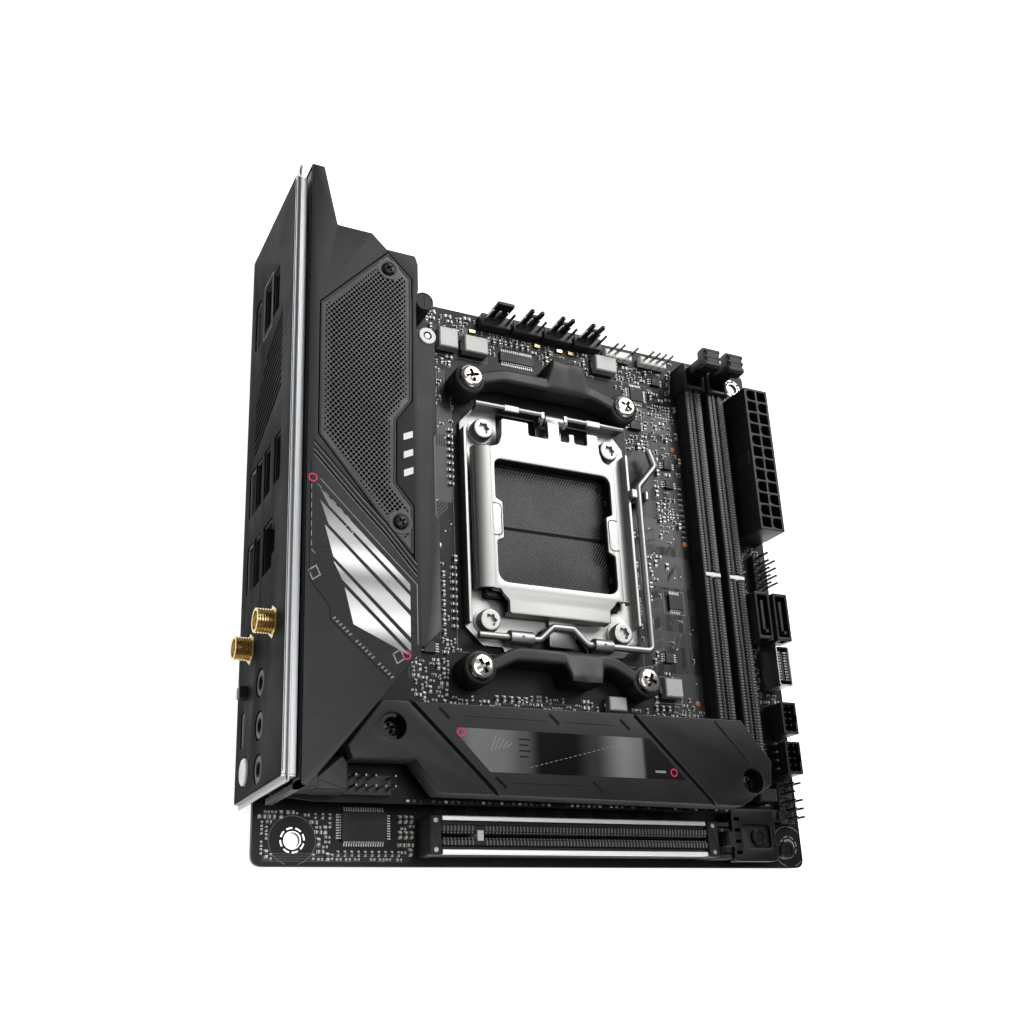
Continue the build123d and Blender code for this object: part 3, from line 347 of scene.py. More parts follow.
def mitres(path, shift):
    """Sideways offset at each point of an open path that keeps its copy parallel."""
    offsets = []
    for i, p in enumerate(path):
        a = (p - path[i - 1]).normalized() if i else (path[1] - p).normalized()
        b = (path[i + 1] - p).normalized() if i + 1 < len(path) else a
        na, nb = Vector((-a.y, a.x)), Vector((-b.y, b.x))
        bisector = (na + nb).normalized()
        offsets.append(bisector * (shift / max(0.4, bisector.dot(na))))
    return offsets


UPRIGHT = Matrix.Identity(4)
ALONG_X = Matrix(((0, 0, 1, 0), (1, 0, 0, 0), (0, 1, 0, 0), (0, 0, 0, 1)))
ALONG_Y = Matrix(((0, 1, 0, 0), (0, 0, 1, 0), (1, 0, 0, 0), (0, 0, 0, 1)))


def soften(obj, width, angle):
    """Rounds the edges that are sharper than the angle."""
    edge = obj.modifiers.new("rounded edges", "BEVEL")
    edge.width = width * MM
    edge.segments = 2
    edge.limit_method = "ANGLE"
    edge.angle_limit = math.radians(angle)
    return edge


class Maker:
    """Collects faces in millimetres and turns them into one piece. Local axes follow `place`."""

    def __init__(self):
        self.verts, self.faces, self.slots, self.used = [], [], [], []
        self.place = UPRIGHT

    def add(self, verts, faces, material):
        if material not in self.used:
            self.used.append(material)
        index = self.used.index(material)
        base = len(self.verts)
        place = self.place
        self.verts += [place @ Vector(v) for v in verts]
        self.faces += [[base + i for i in face] for face in faces]
        self.slots += [index] * len(faces)

    def box(self, x0, x1, y0, y1, z0, z1, material, chamfer=0.0, bottom=True):
        """Block, with its top edges chamfered when asked."""
        c = chamfer
        verts = [(x0, y0, z0), (x1, y0, z0), (x1, y1, z0), (x0, y1, z0)]
        if c:
            verts += [(x0, y0, z1 - c), (x1, y0, z1 - c), (x1, y1, z1 - c), (x0, y1, z1 - c)]
            verts += [(x0 + c, y0 + c, z1), (x1 - c, y0 + c, z1), (x1 - c, y1 - c, z1), (x0 + c, y1 - c, z1)]
            faces = [(8, 9, 10, 11)]
            for i in range(4):
                j = (i + 1) % 4
                faces += [(i, j, 4 + j, 4 + i), (4 + i, 4 + j, 8 + j, 8 + i)]
        else:
            verts += [(x0, y0, z1), (x1, y0, z1), (x1, y1, z1), (x0, y1, z1)]
            faces = [(4, 5, 6, 7)]
            faces += [(i, (i + 1) % 4, 4 + (i + 1) % 4, 4 + i) for i in range(4)]
        if bottom:
            faces.append((3, 2, 1, 0))
        self.add(verts, faces, material)

    def turned(self, x, y, profile, material, count=32, start=0.0):
        """Profile of (radius, height) pairs turned about the local upright axis through x, y."""
        verts, faces, rings = [], [], []
        for radius, z in profile:
            if radius <= 1e-6:
                rings.append([len(verts)])
                verts.append((x, y, z))
            else:
                rings.append(list(range(len(verts), len(verts) + count)))
                verts += [(px, py, z) for px, py in circle(x, y, radius, count, start)]
        for lower, upper in zip(rings, rings[1:]):
            for i in range(count):
                j = (i + 1) % count
                if len(lower) == 1 and len(upper) == 1:
                    continue
                if len(lower) == 1:
                    faces.append((lower[0], upper[j], upper[i]))
                elif len(upper) == 1:
                    faces.append((lower[i], lower[j], upper[0]))
                else:
                    faces.append((lower[i], lower[j], upper[j], upper[i]))
        self.add(verts, faces, material)

    def post(self, x, y, radius, z0, z1, material, count=24, chamfer=0.0):
        profile = [(0, z0), (radius, z0), (radius, z1 - chamfer)]
        if chamfer:
            profile.append((radius - chamfer, z1))
        self.turned(x, y, profile + [(0, z1)], material, count)

    def ring(self, x, y, inner, outer, z0, z1, material, count=32):
        profile = [(inner, z0), (outer, z0), (outer, z1), (inner, z1), (inner, z0)]
        self.turned(x, y, profile, material, count)

    def prism(self, points, z0, z1, material, chamfer=0.0):
        """Upright solid on a simple polygon, with its top edge chamfered when asked."""
        area = sum(points[i - 1][0] * p[1] - p[0] * points[i - 1][1] for i, p in enumerate(points))
        if area < 0:
            points = points[::-1]
        n = len(points)
        rows = [[(x, y, z0) for x, y in points]]
        if chamfer:
            rows.append([(x, y, z1 - chamfer) for x, y in points])
            rows.append([(x, y, z1) for x, y in grown(points, -chamfer)])
        else:
            rows.append([(x, y, z1) for x, y in points])
        verts = [v for row in rows for v in row]
        faces = [tuple(range(n - 1, -1, -1)), tuple(range(n * (len(rows) - 1), n * len(rows)))]
        for level in range(len(rows) - 1):
            for i in range(n):
                j = (i + 1) % n
                faces.append((level * n + i, level * n + j, (level + 1) * n + j, (level + 1) * n + i))
        self.add(verts, faces, material)

    def tube(self, points, radius, material, count=12):
        """Round wire through the points, closed at both ends."""
        path = [Vector(p) for p in points]
        n = len(path)
        verts, faces = [], []
        normal = None
        for i, p in enumerate(path):
            direction = (path[min(i + 1, n - 1)] - path[max(i - 1, 0)]).normalized()
            if normal is None:
                normal = direction.orthogonal().normalized()
            else:
                normal = (normal - direction * normal.dot(direction)).normalized()
            side = direction.cross(normal)
            for k in range(count):
                a = 2 * math.pi * k / count
                verts.append(p + (normal * math.cos(a) + side * math.sin(a)) * radius)
        for i in range(n - 1):
            for k in range(count):
                a, b = i * count, (i + 1) * count
                faces.append((a + k, a + (k + 1) % count, b + (k + 1) % count, b + k))
        faces.append(tuple(range(count - 1, -1, -1)))
        faces.append(tuple(range((n - 1) * count, n * count)))
        self.add(verts, faces, material)

    def ribbon(self, points, width, z, material):
        """Flat line through the points, with mitred corners."""
        path = [Vector(p) for p in points]
        left, right = [], []
        for p, offset in zip(path, mitres(path, width / 2)):
            left.append(p + offset)
            right.append(p - offset)
        n = len(path)
        verts = [(q.x, q.y, z) for q in left + right]
        faces = [(n + i, n + i + 1, i + 1, i) for i in range(n - 1)]
        self.add(verts, faces, material)

    def plate(self, loops, z0, z1, material, bevel=0.0, steps=2):
        """Flat plate with an outline and holes, and rounded edges."""
        verts, faces = filled(loops, z0, z1, bevel, steps)
        self.add(verts, faces, material)

    def done(self, name, nodes, body="board", bevel=0.0, angle=38, smooth=True):
        """Makes the object, lets it ride its body and hides the CAD nodes it stands for."""
        mesh = bpy.data.meshes.new(name)
        shift = Vector((ORIGIN_X, ORIGIN_Y, 0))
        mesh.from_pydata([tuple((v - shift) * MM) for v in self.verts], [], self.faces)
        for material in self.used:
            mesh.materials.append(material)
        mesh.polygons.foreach_set("material_index", self.slots)
        mesh.update()
        solid = bmesh.new()
        solid.from_mesh(mesh)
        bmesh.ops.remove_doubles(solid, verts=solid.verts, dist=2e-7)
        bmesh.ops.recalc_face_normals(solid, faces=solid.faces)
        solid.to_mesh(mesh)
        solid.free()
        obj = bpy.data.objects.new(name, mesh)
        bpy.context.scene.collection.objects.link(obj)
        if bevel:
            soften(obj, bevel, angle).harden_normals = True
        if smooth:
            mesh.polygons.foreach_set("use_smooth", [True] * len(mesh.polygons))
            mesh.set_sharp_from_angle(angle=math.radians(angle))
        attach(obj, body)
        if nodes:
            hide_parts(*nodes)


def filled(loops, z0, z1, bevel=0.0, steps=2):
    """Vertices and faces of a flat plate made from an outline with holes."""
    data = bpy.data.curves.new("loops", "CURVE")
    data.dimensions = "2D"
    data.fill_mode = "BOTH"
    data.extrude = (z1 - z0) / 2 - bevel
    data.bevel_depth = bevel
    data.bevel_resolution = steps
    data.offset = -bevel
    for loop in loops:
        spline = data.splines.new("POLY")
        spline.points.add(len(loop) - 1)
        for point, (x, y) in zip(spline.points, loop):
            point.co = (x, y, 0, 1)
        spline.use_cyclic_u = True
    obj = bpy.data.objects.new("loops", data)
    bpy.context.scene.collection.objects.link(obj)
    bpy.context.view_layer.update()
    mesh = bpy.data.meshes.new_from_object(obj.evaluated_get(bpy.context.evaluated_depsgraph_get()))
    middle = (z0 + z1) / 2
    verts = [(v.co.x, v.co.y, v.co.z + middle) for v in mesh.vertices]
    faces = [tuple(p.vertices) for p in mesh.polygons]
    bpy.data.objects.remove(obj)
    bpy.data.curves.remove(data)
    bpy.data.meshes.remove(mesh)
    return verts, faces


def keep(node, material):
    """Shows a CAD node as it is, with a finish and softened edges."""
    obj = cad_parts[node]
    for index in range(max(1, len(obj.data.materials))):
        if obj.data.materials:
            obj.data.materials[index] = material
        else:
            obj.data.materials.append(material)
    soften(obj, 0.15, 38)


# ---------------------------------------------------------------- board


def build_board():
    m = Maker()
    outline = rounded([(0, 0), (170, 0), (170, 170), (0, 170)], 3.0, 6)
    holes = [circle(x, y, 1.98, 40) for x, y in BOARD_HOLES]
    holes += [circle(x, y, 2.2, 32) for x, y in COOLER_HOLES] + [circle(x, y, 1.8, 24) for x,
            y in SOCKET_SCREWS]
    m.plate([outline] + holes, 0.9, TOP, MASK)
    m.plate([outline] + holes, 0.3, 0.9, AMBER)
    m.plate([outline] + holes, 0.0, 0.3, MASK)
    # Plated pads round the screw holes
    for x, y in BOARD_HOLES:
        m.ring(x, y, 1.96, 2.25, TOP - 0.02, TOP + 0.035, CELL, 40)
        m.ring(x, y, 1.96, 4.4, -0.03, 0.02, TIN)
        for i in range(8):
            a0 = 2 * math.pi * i / 8
            arc = [(x + 3.0 * math.cos(a0 + 0.13 * k), y + 3.0 * math.sin(a0 + 0.13 * k)) for k in range(5)]
            m.ribbon(arc, 0.38, TOP + 0.03, CELL)
        circle_line = circle(x, y, 6.0, 48)
        for k in range(48):
            a, b = circle_line[k - 1], circle_line[k]
            if all(0.5 < v < 169.5 for v in (*a, *b)):
                m.ribbon([a, b], 0.16, TOP + 0.022, SILK)
    # Solder joints under the through-hole connectors
    joints = [(x0 + 1.3 + PITCH * i, 167.4) for x0 in FAN_XS for i in range(4)]
    joints += [(x, 88.9 + PITCH * i) for x in (164.3, 166.84) for i in range(5)]
    joints += [(x, 14.1 + PITCH * i) for x in (162.9, 165.44) for i in range(5)]
    joints += [(162.4 + 4.2 * c, 108.1 + 4.2 * r) for c in range(2) for r in range(12)]
    joints += [(23.8 + 4.2 * c, 161.2 + 4.2 * r) for c in range(4) for r in range(2)]
    joints += [(48 + 2.0 * c, 5.0 + 4.2 * r) for c in range(42) for r in range(2)]
    joints += [(x + s, 22 + 1.7 * r) for x in MEMORY_XS for s in (-1.6, 1.6) for r in range(79)]
    joints += [(x, y) for y in (92, 96.5, 101) for x in (3, 6, 9, 12)] + [(x, y) for y in (70, 75,
            80) for x in (3, 6, 9)]
    for x, y in joints:
        m.turned(x, y, [(0.62, 0.0), (0.5, -0.3), (0.28, -0.8), (0, -0.9)], TIN, 8)
    m.done("circuit_board_detail", ["circuit_board"])


def bundle(m, points, count, pitch, width, z=TOP + 0.012):
    """Parallel copper tracks that follow one route."""
    for i in range(count):
        shift = (i - (count - 1) / 2) * pitch
        path = [Vector(p) for p in points]
        m.ribbon([p + offset for p, offset in zip(path, mitres(path, shift))], width, z, TRACE)


BUSY = []


def claim(x0, x1, y0, y1):
    """Marks an area of the board as taken."""
    BUSY.append((x0, x1, y0, y1))


def free(x0, x1, y0, y1):
    """Whether an area lies on the board, off its screw holes and on no taken area."""
    if x0 < 1.2 or y0 < 1.2 or x1 > 168.8 or y1 > 168.8:
        return False
    if any(math.hypot((x0 + x1) / 2 - x, (y0 + y1) / 2 - y) < 6.6 for x, y in BOARD_HOLES):
        return False
    return all(x1 < a or x0 > b or y1 < c or y0 > d for a, b, c, d in BUSY)


def fixed_areas():
    """Places taken by the larger parts."""
    for area in ((-1, 41.8, 46, 156), (-1, 20, 14, 180), (20, 40, 157.8, 169), (57.6, 117.4, 60, 138),
                 (54, 66, 46.5, 58.5), (108, 120, 46.5, 58.5), (54, 66, 136.6, 149), (108, 120, 136.6, 149),
                 (58, 116, 48, 60), (58, 116, 140, 156), (116, 127.6, 110, 132), (139.4, 157.1, 17.6, 167),
                 (159.0, 170, 104.6, 157.6), (156.4, 170, 68.8, 86), (162, 170, 86.8, 101),
                         (162, 170, 54, 68),
                 (156.4, 170, 26, 50), (161, 170, 12, 26), (66, 111, 164.8, 170), (111, 138, 163.8, 168.4),
                 (43, 163.4, 0.8, 17.6), (16, 145, 14, 39), (20.4, 37, 4.6, 15.4), (41, 48.2, 160.4, 168),
                 (51.4, 59, 154, 162), (60, 69.2, 154, 161), (107, 116.2, 157.4, 164.2),
                         (122.8, 130.2, 49, 56),
                 (102.6, 109.8, 43.6, 49), (73, 87, 154.4, 159.8), (120.2, 128, 149.2, 157),
                 (119.4, 125.6, 139, 144), (128, 135.2, 77.4, 84.6)):
        claim(*area)


def chip_part(m, x, y, long_x, length, width, height, body):
    """Two-ended surface-mounted part with a solder fillet at each end."""
    end, side = length / 2, width / 2
    inner = end - length * 0.28
    blocks = [(-inner, inner, side, height, body, 0.0)]
    for s in (-1, 1):
        blocks.append((*sorted((s * end, s * inner)), side, height * 1.04, TIN, 0.06))
        blocks.append((*sorted((s * (end + 0.22), s * inner)), side + 0.06, 0.07, TIN, 0.0))
    for a, b, half, top, material, chamfer in blocks:
        area = (x + a, x + b, y - half, y + half) if long_x else (x - half, x + half, y + a, y + b)
        m.box(*area, TOP, TOP + top, material, chamfer, False)


def lead_row(m, along_x, edge, out, middle, count, pitch, height):
    """Gull-wing leads along one side of a chip: a foot on its pad and a shoulder at the body."""
    half, foot, shoulder = 0.14, 1.2, 0.4
    for i in range(count):
        at = middle + (i - (count - 1) / 2) * pitch
        for reach, top in ((foot, 0.16), (shoulder, height * 0.55)):
            a, b = sorted((edge, edge + out * reach))
            area = (at - half, at + half, a, b) if along_x else (a, b, at - half, at + half)
            m.box(*area, TOP, TOP + top, TIN, 0, False)


def leaded_chip(m, x0, x1, y0, y1, height, left=0, right=0, front=0, back=0, pitch=0.65):
    """Moulded chip with leads on the chosen sides and a dot at its first corner."""
    m.box(x0, x1, y0, y1, TOP + 0.15, TOP + height, CHIP, 0.12)
    middle_x, middle_y = (x0 + x1) / 2, (y0 + y1) / 2
    lead_row(m, False, x0, -1, middle_y, left, pitch, height)
    lead_row(m, False, x1, 1, middle_y, right, pitch, height)
    lead_row(m, True, y0, -1, middle_x, front, pitch, height)
    lead_row(m, True, y1, 1, middle_x, back, pitch, height)
    m.post(x0 + 1.0, y1 - 1.0, 0.32, TOP + height, TOP + height + 0.012, DARK_CERAMIC, 12)


# Rows of like parts: first x and y, step in x and y, count, whether they lie along X, length, body
PART_ROWS = (
    (118.8, 68, 0, 4.2, 6, False, 1.0, CERAMIC), (137.8, 24, 0, 2.6, 9, False, 1.0, DARK_CERAMIC),
    (137.9, 100, 0, 1.9, 12, True, 1.0, CERAMIC), (132.0, 116.4, 1.7, 0, 4, False, 1.0, DARK_CERAMIC),
    (55.9, 66, 0, 2.2, 9, True, 1.6, CERAMIC), (55.9, 110, 0, 2.2, 9, True, 1.6, CERAMIC),
    (52.6, 64, 0, 2.9, 7, False, 1.6, CERAMIC), (70, 161.8, 2.0, 0, 16, False, 1.6, CERAMIC),
    (104.4, 154.6, 2.0, 0, 8, False, 1.0, DARK_CERAMIC), (68, 46.0, 2.3, 0, 5, False, 1.6, CERAMIC),
    (119, 46.6, 2.3, 0, 4, False, 1.6, CERAMIC), (58, 42.4, 2.0, 0, 24, False, 1.0, CERAMIC),
    (159.9, 88, 0, 2.2, 6, True, 1.0, DARK_CERAMIC), (159.2, 53, 0, 2.2, 6, True, 1.6, CERAMIC),
    (135.0, 159.6, 2.0, 0, 2, False, 1.0, CERAMIC), (38.6, 8.0, 1.6, 0, 3, False, 1.6, CERAMIC),
    (38.6, 12.0, 1.6, 0, 3, False, 1.6, CERAMIC), (22, 3.2, 1.8, 0, 10, False, 1.0, CERAMIC),
    (16.0, 12.4, 1.9, 0, 3, False, 1.0, DARK_CERAMIC),
)


def small_row_part(m, x, y, long_x, length, body):
    """One part of a row, left out where its place is taken."""
    width = length * 0.5
    hx, hy = (length / 2 + 0.25, width / 2 + 0.1) if long_x else (width / 2 + 0.1, length / 2 + 0.25)
    if free(x - hx, x + hx, y - hy, y + hy):
        chip_part(m, x, y, long_x, length, width, 0.5 if length < 1.3 else 0.8, body)
        claim(x - hx, x + hx, y - hy, y + hy)


def build_small_parts():
    """Tracks, vias, small parts and chips of the open areas."""
    fixed_areas()
    m = Maker()
    tracks = Maker()
    # Memory tracks fan out from the socket to the slots
    for i in range(7):
        y = 66 + 10.2 * i
        bundle(tracks, [(116.6, y), (121, y), (126 + (i % 3), y + 3 + i * 0.8), (139.4, y + 3 + i * 0.8)], 8,
               0.62, 0.3)
    for i in range(4):
        x = 122.4 + 4.4 * i
        bundle(tracks, [(x, 58), (x, 100 + 4 * i), (x + 3, 104 + 4 * i), (x + 3, 146)], 4, 0.6, 0.26,
               TOP + 0.02)
    bundle(tracks, [(43.5, 50), (43.5, 120), (46, 123), (46, 152)], 5, 0.8, 0.35)
    bundle(tracks, [(49.5, 62), (49.5, 100), (52.5, 103), (52.5, 148)], 6, 0.8, 0.35)
    bundle(tracks, [(2.5, 2.2), (40, 2.2), (41.5, 3.7), (41.5, 12)], 4, 0.6, 0.28)
    bundle(tracks, [(60, 163), (96, 163), (98.5, 160.5), (106, 160.5)], 5, 0.7, 0.3)
    bundle(tracks, [(135.5, 150), (135.5, 60), (133, 57.5), (133, 42)], 4, 0.8, 0.34)
    for i in range(5):
        y = 42.0 + 0.9 * i
        bundle(tracks, [(66 + i, y), (98, y), (100, y - 1.6), (130, y - 1.6)], 1, 0.7, 0.34)
    for i in range(9):
        x = 50 + 9.0 * i
        bundle(tracks, [(x, 17), (x, 14.2), (x + 1.5, 12.7)], 4, 0.7, 0.3)
    # Copper pours show as slightly lighter islands
    for x0, x1, y0, y1 in ((42.6, 56.8, 126, 137), (42.6, 56.4, 104, 122), (60, 76, 161.4, 164.6),
                           (120, 139, 140, 148.6),
                           (128, 139.2, 44, 58), (120, 138.6, 86, 96.6), (120.4, 134, 100, 109)):
        tracks.prism(rounded(oblong(x0, x1, y0, y1), 1.2, 3), TOP, TOP + 0.006, TRACE)
    # Pads and vias between the parts
    for _ in range(1500):
        x, y = rng.uniform(20, 168), rng.uniform(2, 168)
        if free(x - 0.5, x + 0.5, y - 0.5, y + 0.5):
            tracks.post(x, y, 0.22, TOP, TOP + 0.03, TRACE if rng.random() < 0.8 else TIN, 7)
    tracks.done("board_tracks", [], smooth=False)

    leaded_chip(m, 22.6, 34.8, 6.2, 13.6, 1.2, left=10, right=10, front=17, back=17)
    leaded_chip(m, 73.8, 86.0, 155.2, 158.6, 0.8, front=16, back=16, pitch=0.7)
    leaded_chip(m, 121.4, 126.6, 150.4, 155.6, 1.1, left=8, right=8, front=8, back=8, pitch=0.55)
    leaded_chip(m, 120.4, 124.6, 139.8, 143.2, 1.2, left=4, right=4, pitch=0.8)
    leaded_chip(m, 129.2, 134.0, 78.6, 83.4, 0.9, front=6, back=6, pitch=0.65)
    leaded_chip(m, 126.0, 129.0, 61.0, 64.4, 0.9, left=4, right=4, pitch=0.7)
    claim(124.6, 130.4, 60, 65.4)
    leaded_chip(m, 46.0, 49.6, 57.6, 61.0, 0.9, left=4, right=4, pitch=0.7)
    claim(44.6, 51, 57, 61.6)
    for x0, y0 in ((132.2, 120.4), (132.2, 127.2), (130.6, 158.0), (96.0, 157.0), (47.0, 146.4),
                   (161.6, 163.4)):
        if free(x0 - 0.6, x0 + 4.0, y0 - 0.6, y0 + 3.4):
            leaded_chip(m, x0, x0 + 3.2, y0, y0 + 2.8, 0.9, left=3, right=3, pitch=0.8)
            claim(x0 - 1.4, x0 + 4.6, y0 - 1, y0 + 3.8)
    for x, y in ((87.5, 163.4), (95.6, 163.4), (64.5, 163.6), (99.8, 163.4)):
        m.box(x - 1.1, x + 1.1, y - 0.6, y + 0.6, TOP, TOP + 0.75, GOLD, 0.1)
        claim(x - 2, x + 2, y - 1.4, y + 1.4)
    for x, y in ((136.8, 135.2), (136.9, 48.9), (138.0, 101.5)):
        m.turned(x, y, [(0.9, TOP), (0.9, TOP + 0.1), (0.5, TOP + 0.25), (0, TOP + 0.3)], ORANGE, 16)
        claim(x - 1.4, x + 1.4, y - 1.4, y + 1.4)
    # Rows of like parts beside the sockets and slots
    for x0, y0, step_x, step_y, count, long_x, length, body in PART_ROWS:
        for i in range(count):
            small_row_part(m, x0 + step_x * i, y0 + step_y * i, long_x, length, body)
    # Loose clusters fill the rest, close round the socket and along the edges
    zones = [((128.6, 139.2, 104, 163), 70), ((118.6, 127, 132, 163), 60), ((118, 139, 40, 50), 50),
             ((42, 57.4, 40, 62), 70), ((42, 57.4, 136, 158), 50), ((59, 140, 156.6, 169.4), 190),
             ((57, 118, 39.6, 48), 60), ((156.6, 169, 50, 104), 60), ((138, 169, 158, 169), 40),
             ((20, 43, 1.4, 14), 60), ((1.4, 19.6, 1.4, 13.6), 110), ((40, 60, 155, 169), 50),
                     ((156, 169, 1.5, 27), 40),
             ((42, 57.4, 62, 136), 24), ((118, 139, 50, 104), 24)]
    for (x0, x1, y0, y1), wanted in zones:
        placed = tries = 0
        while placed < wanted and tries < wanted * 14:
            tries += 1
            x, y = round(rng.uniform(x0, x1) / 0.6) * 0.6, round(rng.uniform(y0, y1) / 0.6) * 0.6
            length = rng.choice((1.0, 1.0, 1.0, 1.6, 1.6, 2.0))
            width = length * 0.52
            long_x = rng.random() < 0.5
            hx, hy = (length / 2 + 0.35, width / 2 + 0.2) if long_x else (width / 2 + 0.2, length / 2 + 0.35)
            if free(x - hx, x + hx, y - hy, y + hy):
                body = rng.choice((CERAMIC, CERAMIC, DARK_CERAMIC, DARK_CERAMIC, DARK_CERAMIC))
                chip_part(m, x, y, long_x, length, width, 0.4 if body == DARK_CERAMIC else length * 0.5, body)
                claim(x - hx, x + hx, y - hy, y + hy)
                placed += 1
                if rng.random() < 0.3:
                    m.ribbon([(x - hx, y - hy - 0.1), (x + hx, y - hy - 0.1)], 0.1, TOP + 0.024, SILK)
    # Thin legend boxes and lines
    legend = [(127.8, 135.4, 77.2, 84.8), (50.6, 69.4, 153.4, 162.2), (106.4, 116.8, 156.8, 164.8),
              (56.6, 118.4, 58.8, 139.0), (122.2, 130.8, 48.4, 56.6), (156.2, 163.0, 68.2, 86.4),
                      (119.2, 128.2, 148.6, 157.2)]
    for x0, x1, y0, y1 in legend:
        m.ribbon([(x0, y0), (x1, y0), (x1, y1), (x0, y1), (x0, y0 + 0.3)], 0.14, TOP + 0.026, SILK)
    for x, y, reach, width in ((47.0, 68.0, 6.0, 1.0), (47.6, 76.0, 6.0, 1.0), (46.4, 84.0, 6.4, 1.4),
                               (47.4, 97.0, 7.0, 1.0),
                               (47.2, 104.6, 6.0, 1.0), (47.0, 118.0, 6.4, 1.2), (131.0, 66.0, 5.0, 0.8),
                                       (131.2, 73.6, 5.0, 0.8),
                               (131.4, 88.6, 5.4, 1.2), (131.0, 96.4, 5.0, 0.8)):
        m.ribbon([(x - 1.6, y), (x + 2.4, y + reach)], width, TOP + 0.02, FAINT)
    for k in range(15):
        if k % 5 != 4:
            m.ribbon([(123.4, 61.0 + 3.3 * k), (126.4, 62.4 + 3.3 * k)], 0.9, TOP + 0.03, FAINT)
    # Dot grids of open test pads
    for gx, gy, cols, grid_rows in ((130.4, 146.4, 8, 5), (129.4, 109.4, 6, 4), (58.0, 40.4, 16, 2),
                                    (6.0, 13.0, 6, 1)):
        for c in range(cols):
            for r in range(grid_rows):
                x, y = gx + 1.05 * c, gy + 1.05 * r
                if free(x - 0.3, x + 0.3, y - 0.3, y + 0.3):
                    m.post(x, y, 0.27, TOP, TOP + 0.05, TIN, 8)
    m.done("small_parts", ["board_chips"])


def build_chokes():
    m = Maker()
    blocks = [(52.0, 58.4, 154.6, 161.4), (60.6, 68.6, 154.6, 160.4), (107.6, 115.6, 158.0, 163.6),
              (123.4, 129.6, 49.6, 55.4), (103.2, 109.2, 44.2, 48.4)]
    for x0, x1, y0, y1 in blocks:
        m.box(x0, x1, y0, y1, TOP + 0.3, 5.0, CHOKE, 0.35)
        m.box(x0 - 0.3, x0 + 1.2, y0 + 1.5, y1 - 1.5, TOP, TOP + 0.7, TIN, 0.1)
        m.box(x1 - 1.2, x1 + 0.3, y0 + 1.5, y1 - 1.5, TOP, TOP + 0.7, TIN, 0.1)
    for i in range(9):
        m.box(34.4, 41.0, 59.4 + 9 * i, 66.4 + 9 * i, TOP, 6.4, CHOKE, 0.3)
    m.done("power_inductors", ["chokes"], bevel=0.12)
    m = Maker()
    for x, y in CAN_CAPACITORS:
        m.turned(x, y, [(0, TOP), (3.1, TOP), (3.1, TOP + 1.2), (2.85, TOP + 1.5), (3.1, TOP + 1.8),
                        (3.1, 10.8),
                        (2.9, 11.3), (2.5, 11.4), (2.4, 11.25), (0, 11.25)], COVER, 40)
        m.box(x - 0.06, x + 0.06, y - 2.2, y + 2.2, 11.2, 11.3, DEEP)
    m.done("can_capacitors", ["capacitors"])


build_board()
build_small_parts()
build_chokes()


# ---------------------------------------------------------------- rear shield and ports

# Drawn in the plane of the shield: first Y, then height; local depth runs along X.
SHIELD_OPENINGS = [(y - 6.6, y + 6.6, z - 2.9, z + 2.9)
                   for y, levels in (*USB_STACKS, (LAN_Y, LAN_LEVELS)) for z in levels]


def build_shield():
    m = Maker()
    m.place = ALONG_X
    y0, y1, z0, z1 = 15.1, 173.6, REST, 40.4
    loops = [rounded(oblong(y0, y1, z0, z1), 1.2, 4)]
    loops += [rounded(oblong(*hole), 0.4, 2) for hole in SHIELD_OPENINGS]
    loops.append(rounded([(140.4, 3.6), (141.6, 2.0), (154.4, 2.0), (155.6, 3.6), (155.6, 7.8),
                          (140.4, 7.8)], 0.4, 2))
    loops.append(rounded([(68.4, 18.0), (81.6, 18.0), (81.6, 26.4), (78.4, 26.4), (78.4, 29.0), (71.6, 29.0),
                          (71.6, 26.4), (68.4, 26.4)], 0.25, 2))
    loops.append(rounded(oblong(28.2, 37.2, 1.8, 5.0), 1.55, 5))
    loops.append(rounded(oblong(40.1, 43.5, 3.7, 7.1), 0.3, 2))
    loops.append(circle(BUTTON_Y, BUTTON_Z, 3.7, 40))
    loops += [circle(y, JACK_Z, 3.6, 40) for y in JACK_YS]
    loops += [circle(y, z, 3.3, 36) for y, z in ANTENNAS]
    # Slanted vent slots
    for i in range(11):
        top_y = 116.4 + 2.1 * i
        low_y = top_y - 9.4
        a, b = (top_y, 31.0), (low_y, 6.0)
        if i > 7:
            b = (low_y + (i - 7) * 1.2, 6.0 + (i - 7) * 3.2)
        dy, dz = b[0] - a[0], b[1] - a[1]
        length = math.hypot(dy, dz)
        ny, nz = -dz / length * 0.48, dy / length * 0.48
        loops.append(rounded([(a[0] - ny, a[1] - nz), (b[0] - ny, b[1] - nz), (b[0] + ny, b[1] + nz),
                              (a[0] + ny, a[1] + nz)], 0.46, 3))
    m.plate(loops, SHIELD_X, SHIELD_X + 0.4, SHIELD, 0.1)
    # Printed outline round one socket
    m.ribbon([(139.6, 11.2), (156.6, 11.2), (156.6, 19.8), (139.6, 19.8), (139.6, 11.4)], 0.28,
             SHIELD_X - 0.012, SILK)
    m.done("shield_face", ["io_shield"])

    m = Maker()
    # Folded bright rim: top, bottom and both ends
    m.box(SHIELD_X, -0.4, y0 + 0.5, y1 - 0.5, 39.95, 40.4, RIM)
    m.box(SHIELD_X, -0.4, y0 + 0.5, y1 - 0.5, REST, REST + 0.45, RIM)
    m.box(SHIELD_X, -0.4, y0, y0 + 0.45, REST, 40.4, RIM)
    m.box(SHIELD_X, -0.4, y1 - 0.45, y1, REST, 40.4, RIM)
    # Raised contact flange behind the rim
    m.box(-2.6, -2.2, y0 - 1.0, y1 + 3.0, 40.4, 41.8, RIM, 0.1)
    m.box(-2.6, -2.2, y0 - 1.2, y0, REST, 41.6, RIM, 0.05)
    m.box(-2.6, -2.2, y1, y1 + 3.0, REST, 41.8, RIM, 0.05)
    m.done("shield_rim", [], bevel=0.08)


